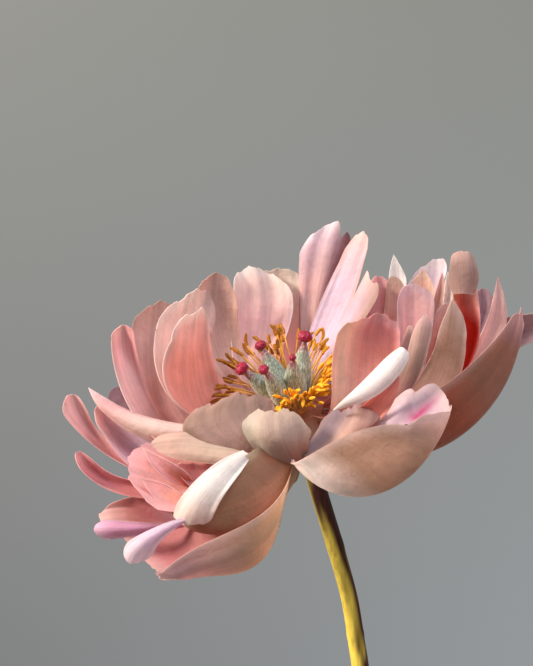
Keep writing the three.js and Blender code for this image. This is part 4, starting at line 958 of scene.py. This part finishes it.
# Painted shade: anthers towards the back left, in shade, turn burnt orange; a random share varies each
# one's tone.
left_shade_and_tone = smooth(0.55 - 0.9 * np.cos(np.radians(stamen_azimuths + 40)) + draw.uniform(-0.25, 0.25, many))
paint(anthers, blend(linear("f2a71b"), linear("944708"), left_shade_and_tone[:, None]))

ring = put_turned("stamen_ring", RING, RING_POINTS, RING_SIDES, wax, ["stamens"])
paint(ring, linear("e8b872"))

# -------- studio
# A plain pale floor of painted board, a large soft key light from the left, a weak fill from above,
# and grey surroundings. None of it is part of the object.
FLOOR_RADIUS, FLOOR_SIDES = 420, 120
VIEW_TARGET = BLOOM_SEAT + np.array([-11.3, 6.5, 30.6])
VIEW_LINE = np.array([0, 978.1, -207.9])  # from the camera to its target

floor_mesh = bpy.data.meshes.new("studio_floor")
floor_points = turned([(FLOOR_RADIUS, 0)], FLOOR_SIDES)[0] * MM
floor_mesh.from_pydata(floor_points.tolist(), [], [list(range(FLOOR_SIDES))])
floor = stand("studio_floor", floor_mesh)
# Painted board: matt, with the faintest roller texture, three millimetres across.
floor_board, tree, place = new_material("floor_board_matt")
roller = raised(tree, noise(tree, place, 0.3 / MM, 3), 0.1, 0.3)
put_out(tree, {"Base Color": "b4b2ad", "Roughness": 0.8, "Normal": roller})
floor_mesh.materials.append(floor_board)

# The wall behind is a little warmer at the upper left and cooler at the lower right.
world = bpy.data.worlds.new("studio_grey")
bpy.context.scene.world = world
world.use_nodes = True
sky = world.node_tree
sky.nodes.clear()
look = add(sky, "SeparateXYZ", {"Vector": add(sky, "TexCoord").outputs["Generated"]})
rightward = add(sky, "MapRange", {"Value": look.outputs["X"], "From Min": -0.12, "From Max": 0.12})
upward = add(sky, "MapRange", {"Value": look.outputs["Z"], "From Min": -0.33, "From Max": -0.09})
lower, upper = (
    mix(sky, rightward, left, right)
    for left, right in (("7f8080", "979b9e"), ("9c9b96", "8e8f8a")))
wall = mix(sky, upward, lower, upper)
add(sky, "OutputWorld", {"Surface": add(sky, "Background", {"Color": wall, "Strength": 1.0})})


def soft_light(name, place, size, power, shade):
    """A square lamp at a place in millimetres that looks at the bloom."""
    lamp = bpy.data.lights.new(name, "AREA")
    lamp.shape, lamp.size, lamp.energy, lamp.color = "SQUARE", size * MM, power, linear(shade)
    light = stand(name, lamp)
    light.location = np.array(place) * MM
    aim = Vector((BLOOM_SEAT + [0, 0, 20] - place) * MM)
    light.rotation_euler = aim.to_track_quat("-Z", "Y").to_euler()


soft_light("key", place=(-1240, -300, 976), size=320, power=36, shade="fff3e2")
soft_light("fill", place=(450, -650, 1650), size=900, power=22, shade="f4f6ff")

camera_data = bpy.data.cameras.new("camera")
camera_data.lens, camera_data.sensor_width = 150, 36
camera_data.clip_start, camera_data.clip_end = 0.05, 20
camera = stand("camera", camera_data)
camera.location = (VIEW_TARGET - VIEW_LINE) * MM
camera.rotation_euler = Vector(VIEW_LINE).to_track_quat("-Z", "Y").to_euler()
bpy.context.scene.camera = camera
bpy.context.scene.view_settings.view_transform = "Standard"
